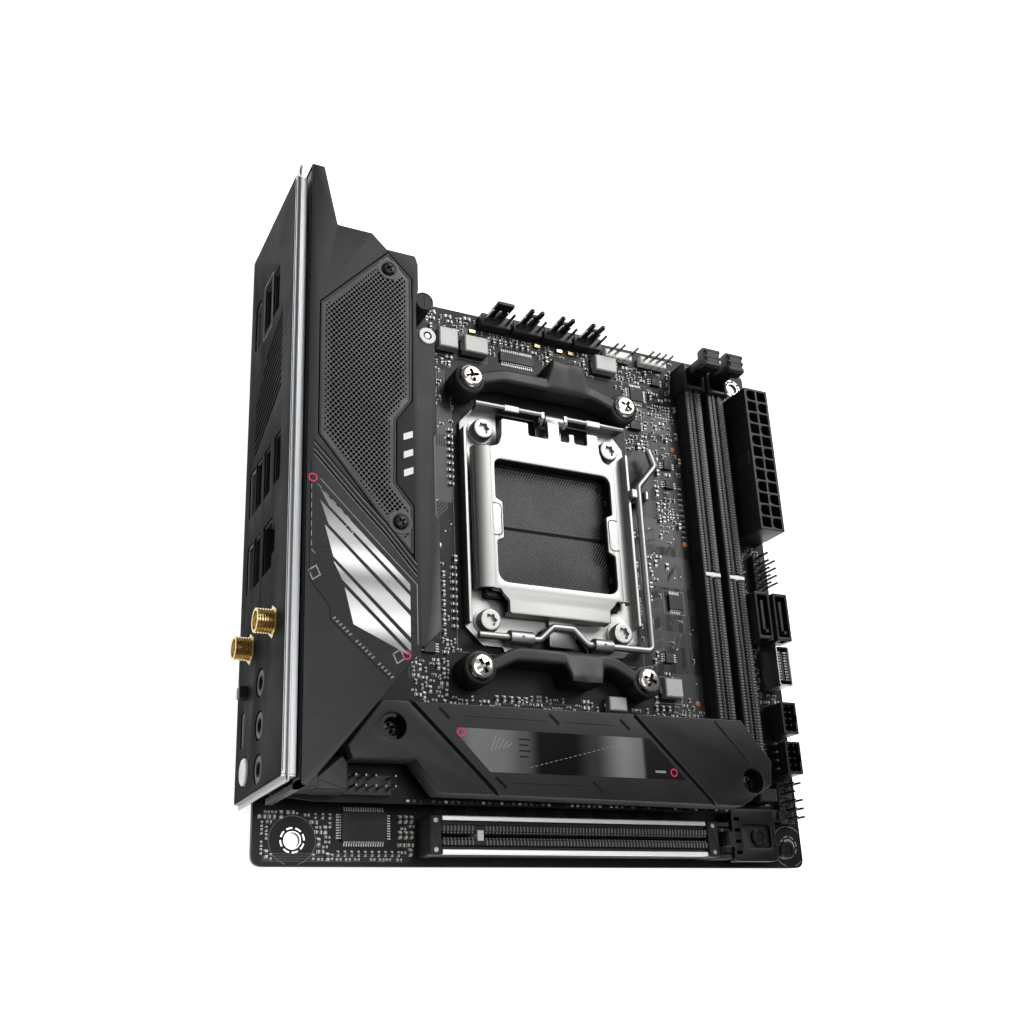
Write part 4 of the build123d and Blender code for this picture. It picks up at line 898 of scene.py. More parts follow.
def socket_cavity(m, y, z, wide, high, deep, lining, tongue, tongue_z0, tongue_z1, tongue_wide, contacts=5):
    """Recess in a port: lining walls, a tongue and its contacts."""
    x0 = SHIELD_X + 0.35
    t = 0.35
    m.box(x0, deep, y - wide, y - wide + t, z - high, z + high, lining)
    m.box(x0, deep, y + wide - t, y + wide, z - high, z + high, lining)
    m.box(x0, deep, y - wide, y + wide, z - high, z - high + t, lining)
    m.box(x0, deep, y - wide, y + wide, z + high - t, z + high, lining)
    m.box(deep - 0.3, deep, y - wide, y + wide, z - high, z + high, DEEP)
    if tongue:
        m.box(x0 + 0.9, deep, y - tongue_wide, y + tongue_wide, z + tongue_z0, z + tongue_z1, tongue)
        for i in range(contacts):
            cy = y + (i - (contacts - 1) / 2) * tongue_wide * 1.6 / max(1, contacts - 1)
            m.box(x0 + 1.2, deep, cy - 0.25, cy + 0.25, z + tongue_z0 - 0.08, z + tongue_z0, GOLD)


def build_ports():
    m = Maker()
    for y, levels in USB_STACKS:
        low = 8.2 if y > 120 else TOP
        high = levels[-1] + 3.2
        m.box(-3.0, 14.0, y - 6.9, y - 6.6, low, high, PORT)
        m.box(-3.0, 14.0, y + 6.6, y + 6.9, low, high, PORT)
        m.box(-3.0, 14.0, y - 6.9, y + 6.9, high - 0.3, high, PORT, 0.1)
        m.box(13.6, 14.0, y - 6.9, y + 6.9, low, high, PORT)
        edges = [low] + [(a + b) / 2 for a, b in zip(levels, levels[1:])] + [high]
        for i, z in enumerate(levels):
            bright = PORT if (y < 120 and i == 0) else BLACK
            socket_cavity(m, y, z, 6.55, 2.85, 8.5, bright, BLACK, -0.1, 1.7, 5.6)
        for z in edges[1:-1]:
            m.box(-3.2, 9.0, y - 6.6, y + 6.6, z - 0.6, z + 0.6, BLACK)
    m.done("usb_stacks", ["usb_ports"], bevel=0.06)

    m = Maker()
    y = LAN_Y
    for a, b in ((y - 7.0, y - 6.7), (y + 6.7, y + 7.0)):
        m.box(-3.0, 14.0, a, b, TOP, 17.2, PORT)
    m.box(-3.0, 16.0, y - 8.0, y - 7.6, 17.0, 29.8, PORT)
    m.box(-3.0, 16.0, y + 7.6, y + 8.0, 17.0, 29.8, PORT)
    m.box(-3.0, 16.0, y - 8.0, y + 8.0, 29.4, 29.8, PORT, 0.1)
    m.box(15.6, 16.0, y - 8.0, y + 8.0, TOP, 29.8, PORT)
    m.box(-3.0, 15.8, y - 6.9, y + 6.9, 16.4, 17.6, BLACK)
    for i, z in enumerate(LAN_LEVELS):
        socket_cavity(m, y, z, 6.55, 2.85, 8.5, PORT if i == 0 else BLACK, BLACK, -0.1, 1.7, 5.6)
    m.box(-3.2, 9.0, y - 6.6, y + 6.6, 7.9, 9.0, BLACK)
    # Network jack: lining, stepped latch notch and eight contacts
    for a, b, c, d in ((y - 6.6, y - 6.1, 18.0, 26.4), (y + 6.1, y + 6.6, 18.0, 26.4),
                       (y - 6.6, y - 3.3, 26.2, 29.2),
                       (y + 3.3, y + 6.6, 26.2, 29.2), (y - 6.6, y + 6.6, 17.6, 18.3),
                               (y - 3.4, y + 3.4, 28.9, 29.4)):
        m.box(-3.2, 12.2, a, b, c, d, BLACK)
    m.box(12.0, 12.4, y - 6.6, y + 6.6, 17.6, 29.4, DEEP)
    for i in range(8):
        cy = y - 3.6 + 1.02 * i
        m.tube([(-1.0, cy, 18.5), (2.0, cy, 18.8), (9.0, cy, 22.5), (11.8, cy, 22.7)], 0.2, GOLD, 6)
    m.done("network_stack", ["lan_port"], bevel=0.06)

    m = Maker()
    y = USB_STACKS[0][0]
    m.box(-3.0, 9.0, y - 7.8, y - 7.3, 3.0, 8.0, PORT)
    m.box(-3.0, 9.0, y + 7.3, y + 7.8, 3.0, 8.0, PORT)
    m.box(-3.0, 9.0, y - 7.8, y + 7.8, 7.5, 8.0, PORT)
    m.box(-3.0, 9.0, y - 6.6, y + 6.6, TOP, 2.2, PORT)
    for s in (-1, 1):
        slant = [(y + s * 7.8, 3.2), (y + s * 6.4, TOP), (y + s * 6.0, 2.1), (y + s * 7.3, 3.5)]
        m.place = ALONG_X
        m.prism(slant, -3.0, 9.0, PORT)
        m.place = UPRIGHT
    m.box(6.8, 7.2, y - 7.4, y + 7.4, 2.0, 7.8, DEEP)
    m.box(-1.8, 7.0, y - 5.4, y + 5.4, 4.4, 5.6, BLACK)
    m.done("video_port", ["hdmi_port"], bevel=0.06)

    m = Maker()
    m.place = ALONG_X
    m.plate([rounded(oblong(28.3, 37.1, 1.9, 4.9), 1.48, 6), rounded(oblong(28.7, 36.7, 2.25, 4.55), 1.14,
            6)], -3.3, 5.0, PORT, 0.04)
    m.prism(rounded(oblong(29.6, 35.8, 3.05, 3.75), 0.3, 3), -2.6, 4.2, BLACK)
    m.prism(rounded(oblong(28.6, 36.8, 2.1, 4.7), 1.1, 5), 4.0, 4.4, DEEP)
    m.done("reversible_port", ["usb_c_port"])

    m = Maker()
    m.box(1.0, 4.6, 46.8, 63.0, TOP, 36.0, PORT, 0.2)
    for z in (8, 16, 24, 32):
        m.box(4.55, 4.64, 48, 62, z, z + 0.3, DEEP)
    m.done("radio_can", ["wireless_module"], bevel=0.1)


def build_antennas():
    m = Maker()
    m.place = ALONG_X
    for y, z in ANTENNAS:
        profile = [(0, 1.0), (2.9, 1.0), (2.9, -3.3), (3.05, -3.4), (3.05, -3.9), (2.7, -4.0)]
        x = -4.1
        while x > -7.5:
            profile += [(3.02, x - 0.12), (3.02, x - 0.24), (2.5, x - 0.44), (2.5, x - 0.50)]
            x -= 0.62
        profile += [(3.0, x - 0.05), (2.86, -7.95), (2.5, -8.0), (2.3, -7.9), (2.3, -2.0), (0, -2.0)]
        m.turned(y, z, profile, GOLD, 40)
        m.turned(y, z, [(1.95, -2.2), (1.95, -6.6), (0.95, -6.6), (0.95, -2.2)], WHITE, 28)
        m.turned(y, z, [(0.55, -2.0), (0.55, -6.9), (0.3, -7.1), (0, -7.1)], GOLD, 14)
        m.ring(y, z, 3.0, 4.1, -3.72, -3.6, GOLD, 6)
    m.done("antenna_connectors", ["antenna_sockets"])

    m = Maker()
    for y in JACK_YS:
        m.place = UPRIGHT
        m.box(-2.0, 9.6, y - 4.6, y + 4.6, 13.4, 24.6, BLACK, 0.3)
        m.place = ALONG_X
        m.turned(y, JACK_Z, [(0, 8.0), (1.8, 8.0), (1.8, -3.2), (2.0, -3.4), (3.1, -3.4), (3.35, -3.2),
                             (3.35, -2.0), (0, -2.0)], BLACK, 40)
        m.turned(y, JACK_Z, [(1.75, 6.0), (1.75, -2.9), (2.0, -3.45), (2.3, -3.45), (2.3, -3.0)],
                 SATIN_BLACK, 32)
        m.turned(y, JACK_Z, [(0, 2.0), (1.72, 2.0), (1.72, 1.4), (1.4, 1.4), (1.4, 1.9), (0, 1.9)], PORT, 24)
    m.done("audio_jack_block", ["audio_jacks"])

    m = Maker()
    m.box(1.0, 5.0, 39.2, 44.4, TOP, 9.2, BLACK, 0.2)
    m.box(1.0, 5.0, 17.2, 26.4, TOP, 9.2, BLACK, 0.2)
    m.done("switch_bodies", ["button_switches"], bevel=0.1)
    m = Maker()
    m.box(-5.6, -0.2, 40.3, 43.3, 3.9, 6.9, SATIN_BLACK)
    m.box(-0.4, 1.0, 40.9, 42.7, 4.5, 6.3, SATIN_BLACK)
    m.done("square_button", ["flash_button"], body="flash_button", bevel=0.25)
    m = Maker()
    m.place = ALONG_X
    m.turned(BUTTON_Y, BUTTON_Z, [(0, -0.6), (3.35, -0.6), (3.35, -3.9), (3.1, -4.15), (2.4, -4.2),
                                  (2.1, -4.05), (0, -3.95)], WHITE, 48)
    m.place = UPRIGHT
    m.box(-1.0, 1.0, 20.9, 22.7, 4.5, 6.3, WHITE)
    m.done("round_button", ["clear_button"], body="clear_button")


# ---------------------------------------------------------------- cover and regulator heatsink

COVER_OUTLINE = [
    (0.0, 12.9), (0.0, 176.4), (3.3, 176.4), (7.0, 159.1), (16.5, 159.1), (20.6, 155.1),
    (28.6, 155.1), (29.4, 152.8), (29.4, 145.0), (28.6, 140.0), (28.6, 45.4), (1.6, 12.9),
]
PANEL_OUTLINE = [
    (2.6, 134.8), (20.9, 154.2), (27.5, 147.6), (27.1, 111.2), (22.8, 105.0), (22.6, 87.6),
    (27.1, 82.0), (27.0, 68.6), (19.6, 76.6), (2.6, 97.6),
]
PANEL_SCREWS = ((21.0, 149.0), (23.6, 77.3))


def build_cover():
    m = Maker()
    outer = rounded(COVER_OUTLINE, 0.5, 3)
    skin = 1.4
    window = grown(PANEL_OUTLINE, 0.1)
    # Top skin with the recess for the vent panel
    m.plate([outer, window], COVER_TOP - skin, COVER_TOP, COVER, 0.2, 3)
    m.plate([grown(PANEL_OUTLINE, 0.6), grown(PANEL_OUTLINE, -2.2)], COVER_TOP - 1.3, COVER_TOP - 0.75,
            COVER, 0.05)
    # Side walls, a little inside the bevelled skin
    for a, b in zip(COVER_OUTLINE, COVER_OUTLINE[1:] + COVER_OUTLINE[:1]):
        pa, pb = Vector(a), Vector(b)
        along = (pb - pa).normalized()
        inward = Vector((along.y, -along.x))
        base = 12.0
        if a[0] < 0.1 and b[0] < 0.1:
            base = 36.6
        elif min(a[1], b[1]) > 44 and max(a[1], b[1]) < 146.5:
            base = 27.3
        elif max(a[1], b[1]) < 46:
            base = 13.6
        quad = [tuple(pa), tuple(pb), tuple(pb + inward * skin), tuple(pa + inward * skin)]
        m.prism(quad, base, COVER_TOP - 0.3, COVER)
    # Step in the far wall
    m.box(16.8, 28.4, 154.2, 155.0, 13.0, 38.6, COVER)
    m.done("cover_shell", ["io_cover"])

    m = Maker()
    # Stepped edges between the vent panel and the badge, painted flat: a band of shade with a highlight line
    # beside it
    z = COVER_TOP + 0.035
    for shift, width in ((0.0, 0.5), (1.7, 0.35), (3.1, 0.5)):
        m.ribbon([(1.6, 95.6 - shift), (13.8, 82.6 - shift), (19.6, 76.8 - shift), (27.6, 67.4 - shift)],
                 width, z, DEEP)
        m.ribbon([(1.6, 95.0 - shift), (13.8, 82.0 - shift), (19.6, 76.2 - shift), (27.6, 66.8 - shift)],
                 0.1, z, PALE_PRINT_AND_HIGHLIGHT)
    # Edge of the badge field, painted as a shade line on one side and a highlight line along the long edge
    m.ribbon([(0.9, 90.6), (0.9, 60.2), (5.9, 53.8), (6.1, 50.8), (20.4, 37.8)], 0.22, z, DEEP)
    m.ribbon([(3.3, 85.6), (21.5, 67.4), (27.6, 61.6), (27.6, 46.6)], 0.16, z, PALE_PRINT_AND_HIGHLIGHT)
    dashes = [((1.1, 84.0), (1.3, 67.4)), ((1.3, 67.4), (2.9, 65.8)), ((2.6, 84.2), (11.4, 75.4)),
              ((16.9, 51.6), (23.6, 45.0))]
    for a, b in dashes:
        a, b = Vector(a), Vector(b)
        length = (b - a).length
        count = max(1, int(length / 2.3))
        for k in range(count):
            p, q = a + (b - a) * (k / count), a + (b - a) * ((k + 0.6) / count)
            m.ribbon([tuple(p), tuple(q)], 0.15, z, PALE_PRINT_AND_HIGHLIGHT)
    # Plain outlined tiles and a row of small bars
    for x, y in ((9.9, 73.2), (2.0, 61.8), (22.6, 43.4)):
        tile = [(x - 1.3, y + 0.4), (x + 0.5, y + 1.7), (x + 1.5, y - 0.5), (x - 0.3, y - 1.8)]
        m.ribbon(tile + [tile[0]], 0.3, z, PALE_PRINT_AND_HIGHLIGHT)
    for k in range(19):
        x, y = 7.0 + 0.78 * k, 51.2 - 0.72 * k
        if k % 7 != 6:
            m.ribbon([(x - 0.35, y - 0.25), (x + 0.35, y + 0.25)], 0.36, z, SILK)
    # Three slanted bars in the notch of the vent panel
    for k in range(3):
        y = 89.6 + 5.0 * k
        m.prism([(24.6, y), (27.1, y + 1.2), (27.1, y + 3.0), (24.6, y + 1.8)], COVER_TOP - 0.01,
                COVER_TOP + 0.03, WHITE)
    # Crimson rings at two corners of the badge
    for x, y in ((1.4, 85.7), (24.7, 43.8)):
        m.ring(x, y, 0.78, 1.14, COVER_TOP - 0.01, COVER_TOP + 0.05, RING, 36)
    m.done("cover_trim_lines", [], smooth=False)


def build_badge():
    """Dark field with silver bands; their sheen along Y is painted into the colour."""
    m = Maker()
    field = [(3.0, 84.6), (27.4, 61.6), (27.4, 46.0), (24.0, 42.6), (20.4, 39.4), (6.8, 51.6), (6.4, 54.2),
             (1.9, 60.2), (1.9, 82.0)]
    m.prism(field, COVER_TOP - 0.02, COVER_TOP + 0.02, FIELD)
    # Parallel bands that follow the field's long edge: near and far distance from it, and where each begins
    low_end, stop = 43.6, 25.8
    for near, far, start in ((1.6, 3.4, 3.2), (4.6, 8.2, 3.2), (9.6, 15.0, 4.4), (16.4, 18.4, 6.6),
                             (20.0, 26.4, 9.4)):
        band = [(start, near - 0.4), (stop, near), (stop, far), (start + 2.2, far)]
        corners = [(x, max(84.6 - (x - 3.0) * 0.943 - gap, low_end)) for x, gap in band]
        m.prism(corners, COVER_TOP - 0.01, COVER_TOP + 0.06, SILVER_SHEEN, 0.03)
    m.done("badge_facets", ["badge_plate"], smooth=False)


def build_vent_panel():
    m = Maker()
    edge = grown(PANEL_OUTLINE, -0.15)
    rim = grown(PANEL_OUTLINE, -1.0)
    loops = [rounded(edge, 0.3, 2)]
    step = 1.32
    for i in range(-6, 40):
        for j in range(0, 122):
            x = 1.0 + step * i + (step / 2 if j % 2 else 0)
            y = 66.0 + step * 0.58 * j
            if not inside((x, y), rim) or any(math.hypot(x - a, y - b) < 3.3 for a, b in PANEL_SCREWS):
                continue
            gap = distance_to_edge((x, y), rim)
            if gap > 0.62:
                radius = 0.43 if gap > 2.4 else 0.27 + 0.16 * (gap - 0.62) / 1.8
                loops.append(circle(x, y, radius, 10, 0.3))
    m.plate(loops, COVER_TOP - 0.75, COVER_TOP - 0.12, HEATSINK)
    # Raised narrow border
    m.plate([rounded(edge, 0.3, 2), grown(PANEL_OUTLINE, -0.75)], COVER_TOP - 0.3, COVER_TOP + 0.02, GROOVED,
            0.08)
    m.done("vent_sheet", ["vent_panel"], smooth=False)
    m = Maker()
    # Dark sheet under the perforations: painted shade inside the cover
    m.prism(grown(PANEL_OUTLINE, -0.4), COVER_TOP - 3.2, COVER_TOP - 2.8, DEEP)
    m.done("vent_painted_shade_sheet", [], smooth=False)

    m = Maker()
    for x, y in PANEL_SCREWS:
        m.turned(x, y, [(3.0, COVER_TOP - 0.4), (3.0, COVER_TOP + 0.03), (2.3, COVER_TOP + 0.03),
                        (2.2, COVER_TOP - 0.3)], HEATSINK, 40)
        cross_screw(m, x, y, COVER_TOP - 0.2, 1.95, 1.0, BLACK_OXIDE_AND_HOLE_SHADE, 0.6)
    for x, y in STORAGE_SCREWS:
        cross_screw(m, x, y, 20.2, 2.5, 1.2, BLACK_OXIDE_AND_HOLE_SHADE, 0.4)
    m.done("black_screws", ["cover_screws"])


def cross_screw(m, x, y, z, radius, height, material, turn=0.0, recess=None):
    """Domed cross-drive screw head with a real cross-shaped recess."""
    count = 48
    arm, half = radius * 0.55, radius * 0.14
    inner = radius * 0.6
    profile = [(radius * 0.97, z - 0.3), (radius, z)]
    for s in range(1, 9):
        t = s / 8
        r = radius + (inner - radius) * t
        profile.append((r, z + height * 0.86 * math.sqrt(max(0.0,
                1 - ((r - inner) / (radius - inner)) ** 2))))
    m.turned(x, y, profile, material, count, turn)
    top = z + height * 0.86
    cross = [(arm, -half), (arm, half), (half, half), (half, arm), (-half, arm), (-half, half), (-arm, half),
             (-arm, -half),
             (-half, -half), (-half, -arm), (half, -arm), (half, -half)]
    c, s = math.cos(turn), math.sin(turn)
    cross = [(x + px * c - py * s, y + px * s + py * c) for px, py in cross]
    verts, faces = filled([circle(x, y, inner, count, turn), cross], top - 0.02, top, 0.0)
    keep_faces = [f for f in faces if all(verts[i][2] > top - 0.01 for i in f)]
    rise = height * 0.14
    verts = [(vx, vy, vz + rise * (1 - min(1.0, math.hypot(vx - x, vy - y) / inner) ** 2)) for vx, vy,
             vz in verts]
    m.add(verts, keep_faces, material)
    n = len(cross)
    depth = radius * 0.5
    verts = [(px, py, top + rise * (1 - min(1.0, math.hypot(px - x, py - y) / inner) ** 2)) for px,
             py in cross]
    verts += [(x + (px - x) * 0.6, y + (py - y) * 0.6, top - depth) for px, py in cross]
    faces = [(i, n + i, n + (i + 1) % n, (i + 1) % n) for i in range(n)] + [tuple(range(2 * n - 1, n - 1,
            -1))]
    m.add(verts, faces, recess or material)


def build_regulator():
    m = Maker()
    # Long block beside the cover, with its shaped edge
    edge = [(28.8, 51.6), (36.8, 51.6), (41.2, 56.2), (41.2, 86.0), (40.0, 88.0), (40.0, 111.0),
            (41.0, 112.8), (41.0, 143.6), (28.8, 143.6)]
    m.prism(edge, 12.0, REGULATOR_TOP, HEATSINK, 0.45)
    m.box(27.4, 33.6, 58.0, 141.0, 2.8, 12.0, HEATSINK)
    for i in range(14):
        y = 52.0 + 6.6 * i
        m.box(19.0, 28.9, y, y + 3.0, 6.6, REGULATOR_TOP, HEATSINK, 0.2)
    m.box(19.0, 28.9, 51.6, 143.6, 12.0, 14.0, HEATSINK)
    # Horizontal fins on the open side
    for i in range(4):
        z = 13.6 + 3.2 * i
        m.box(40.6, 41.19, 57.5, 143.0, z, z + 1.7, GROOVED)
    # Grooved strip along the cover
    strip = [(29.4, 52.4), (33.4, 55.4), (33.4, 110.0), (31.8, 112.0), (31.8, 140.5), (29.4, 142.8)]
    m.prism(strip, REGULATOR_TOP, REGULATOR_TOP + 0.02, GROOVED)
    m.done("regulator_heatsink", ["vrm_heatsink"], bevel=0.18)
    m = Maker()
    z = REGULATOR_TOP
    m.turned(*WASHER, [(1.25, z), (1.25, z + 0.4), (2.35, z + 0.4), (2.5, z + 0.25), (2.5, z)], WHITE, 48)
    m.turned(*WASHER, [(0, z - 0.4), (1.25, z - 0.4), (1.25, z + 0.3)], DEEP, 32)
    m.turned(*WASHER, [(0, z + 0.2), (0.7, z + 0.2), (0.7, z - 0.2)], CELL, 24)
    m.done("regulator_washer", [])


build_shield()
build_ports()
build_antennas()
build_cover()
build_badge()
build_vent_panel()
build_regulator()


# ---------------------------------------------------------------- processor socket


def arc_points(cx, cy, radius, a0, a1, count):
    """Points along an arc from angle a0 to a1, in degrees."""
    angles = [math.radians(a0 + (a1 - a0) * i / count) for i in range(count + 1)]
    return [(cx + radius * math.cos(a), cy + radius * math.sin(a)) for a in angles]


def star_screw(m, x, y, z, radius, height, material):
    """Domed screw head with a raised rim and a six-lobed recess."""
    top = z + height
    lobes = []
    for i in range(36):
        a = 2 * math.pi * i / 36
        lobes.append((x + radius * 0.5 * (1 + 0.15 * math.cos(6 * a)) * math.cos(a),
                      y + radius * 0.5 * (1 + 0.15 * math.cos(6 * a)) * math.sin(a)))
    m.turned(x, y, [(radius * 0.9, z - 0.4), (radius, z), (radius, z + height * 0.55),
                    (radius * 0.9, top - 0.12),
                    (radius * 0.82, top), (radius * 0.7, top - 0.03)], material, 48)
    m.plate([circle(x, y, radius * 0.705, 48), lobes], top - 0.06, top - 0.03, material)
    n = len(lobes)
    verts = [(px, py, top - 0.03) for px, py in lobes] + [(px, py, top - 1.1) for px, py in lobes]
    m.add(verts, [(i, n + i, n + (i + 1) % n, (i + 1) % n) for i in range(n)], TIN)
    m.add(verts[n:], [tuple(range(n - 1, -1, -1))], material)


def build_socket():
    m = Maker()
    half, cavity = 22.5, 20.6
    outline = rounded(oblong(SOCKET_X - half, SOCKET_X + half, SOCKET_Y - half, SOCKET_Y + half), 1.0, 3)
    hollow = rounded(oblong(SOCKET_X - cavity, SOCKET_X + cavity, SOCKET_Y - cavity, SOCKET_Y + cavity), 0.8,
                     3)
    m.plate([outline, hollow], TOP, 5.0, SATIN_BLACK, 0.15)
    m.prism(hollow, TOP, 3.2, CONTACTS)
    m.box(SOCKET_X - 20.4, SOCKET_X + 20.4, SOCKET_Y - 0.5, SOCKET_Y + 0.5, 3.1, 3.24, DEEP)
    # Alignment keys on the cavity's walls
    for x in (SOCKET_X - 20.6, SOCKET_X + 19.6):
        for y in (84.5, 110.0):
            m.box(x, x + 1.0, y - 1.0, y + 1.0, 3.2, 4.9, SATIN_BLACK, 0.1)
    m.done("socket_moulding", ["socket_housing"])

    # Sprung contacts: small slanted leaves in staggered rows, with a gap across the middle
    m = Maker()
    step_x, step_y = 0.94, 0.81
    for row in range(48):
        y = 78.4 + step_y * row
        if abs(y - SOCKET_Y) < 0.75:
            continue
        for col in range(42):
            x = 67.7 + step_x * col + (step_x / 2 if row % 2 else 0)
            if x > 106.4 or (x < 71 and y < 81) or (x > 104.5 and y > 114):
                continue
            verts = [(x - 0.16, y - 0.10, 3.22), (x + 0.04, y - 0.14, 3.22), (x + 0.30, y + 0.22, 3.62),
                     (x + 0.12, y + 0.30, 3.62)]
            m.add(verts, [(0, 1, 2, 3)], CONTACT_PIN)
    m.done("socket_contact_leaves", ["socket_contacts"], smooth=False)

    # Stamped base frame with rounded outline and folded walls
    m = Maker()
    frame_outline = rounded([(58.6, 66.0), (64.0, 60.8), (70.4, 60.8), (70.4, 59.4), (78.2, 59.4),
                             (78.2, 62.2), (82.2, 66.4),
                             (84.6, 67.4), (91.4, 67.4), (94.2, 66.4), (98.0, 62.2), (98.0, 59.4),
                                     (104.6, 59.4),
                             (104.6, 60.8), (110.4, 60.8), (116.2, 66.0), (116.2, 130.6), (111.4, 136.6),
                                     (93.2, 136.6),
                             (93.2, 133.0), (85.2, 133.0), (85.2, 136.6), (63.6, 136.6), (58.6, 130.6)], 1.2,
                                     4)
    well = rounded(oblong(SOCKET_X - 22.7, SOCKET_X + 22.7, SOCKET_Y - 22.7, SOCKET_Y + 22.7), 1.0, 3)
    slots = [rounded(oblong(x0, x1, 124.0, 135.3), 0.6, 3) for x0, x1 in ((71.0, 84.6), (93.8, 103.4))]
    holes = [circle(x, y, 1.7, 24) for x, y in SOCKET_SCREWS]
    m.plate([frame_outline, well] + slots + holes, TOP, BASE_TOP, STEEL, 0.18)
    for x0, x1, y0, y1 in ((58.6, 59.7, 66.5, 128.0), (115.1, 116.2, 70.5, 128.0)):
        m.prism(rounded(oblong(x0, x1, y0, y1), 0.5, 3), 2.6, 5.6, STEEL_Y, 0.2)
    # Lever bearings: rolled tabs round the wire, each with a small hole on top drawn as a dark disc of
    # painted shade
    for x0, x1 in ((70.6, 78.0), (98.2, 104.4)):
        m.place = ALONG_X
        roll = arc_points(63.0, LEVER_Z, 2.1, 180, -38, 22) + [(64.6, BASE_TOP), (60.9, BASE_TOP)]
        bore = circle(63.0, LEVER_Z, 1.16, 24)
        m.plate([roll, bore], x0, x1, STEEL, 0.12)
        m.place = UPRIGHT
        m.post((x0 + x1) / 2, 63.0, 0.42, 8.0, 8.115, BLACK_OXIDE_AND_HOLE_SHADE, 20)
    # Hinge uprights with raised pads, cheeks and pin
    for x0, x1, pad in ((62.4, 85.7, 74.4), (92.7, 114.3, 103.2)):
        m.prism([(x0 + 1.0, 135.6), (x1, 135.6), (x1, 136.6), (x0 + 1.0, 136.6)], 2.6, 6.6, STEEL, 0.2)
        m.tube([(x0, 136.0, 6.6), (x1, 136.0, 6.6)], 0.8, STEEL, 14)
        m.box(pad - 2.6, pad + 2.6, 134.7, 136.9, 6.4, 7.4, STEEL, 0.3)
    m.place = ALONG_X
    for x0, x1 in ((84.7, 85.7), (92.7, 93.7)):
        m.prism([(136.6, 2.6), (136.6, 7.4), (HINGE_Y, 7.4), (132.8, HINGE_Z), (132.8, 2.6)], x0, x1, STEEL)
    m.turned(HINGE_Y, HINGE_Z, [(0, 84.2), (1.0, 84.2), (1.0, 94.2), (0, 94.2)], STEEL, 24)
    m.place = UPRIGHT
    # Snap cradle that holds the arm
    m.box(116.0, 121.6, 112.4, 115.4, 2.7, 4.2, STEEL, 0.2)
    m.prism(rounded(oblong(115.2, 117.4, 112.4, 115.4), 0.4, 3), 2.7, 7.8, STEEL, 0.3)
    m.prism(rounded(oblong(120.4, 121.6, 112.4, 115.4), 0.4, 3), 4.1, 7.6, STEEL, 0.3)
    m.done("socket_frame", ["socket_base_frame"], bevel=0.08)

    m = Maker()
    for x, y in SOCKET_SCREWS:
        m.post(x, y, 1.5, -2.0, 4.0, STEEL, 20)
        star_screw(m, x, y, 3.2, 3.45, 2.9, STEEL)
        m.ring(x, y, 3.3, 4.05, BASE_TOP, 3.3, STEEL, 40)
    m.done("socket_star_screws", ["socket_screws"])


def strip_surface(m, rows, material):
    """Skin through rows of points of equal length."""
    n = len(rows[0])
    verts = [p for row in rows for p in row]
    faces = [(r * n + i, r * n + i + 1, (r + 1) * n + i + 1, (r + 1) * n + i)
             for r in range(len(rows) - 1) for i in range(n - 1)]
    m.add(verts, faces, material)


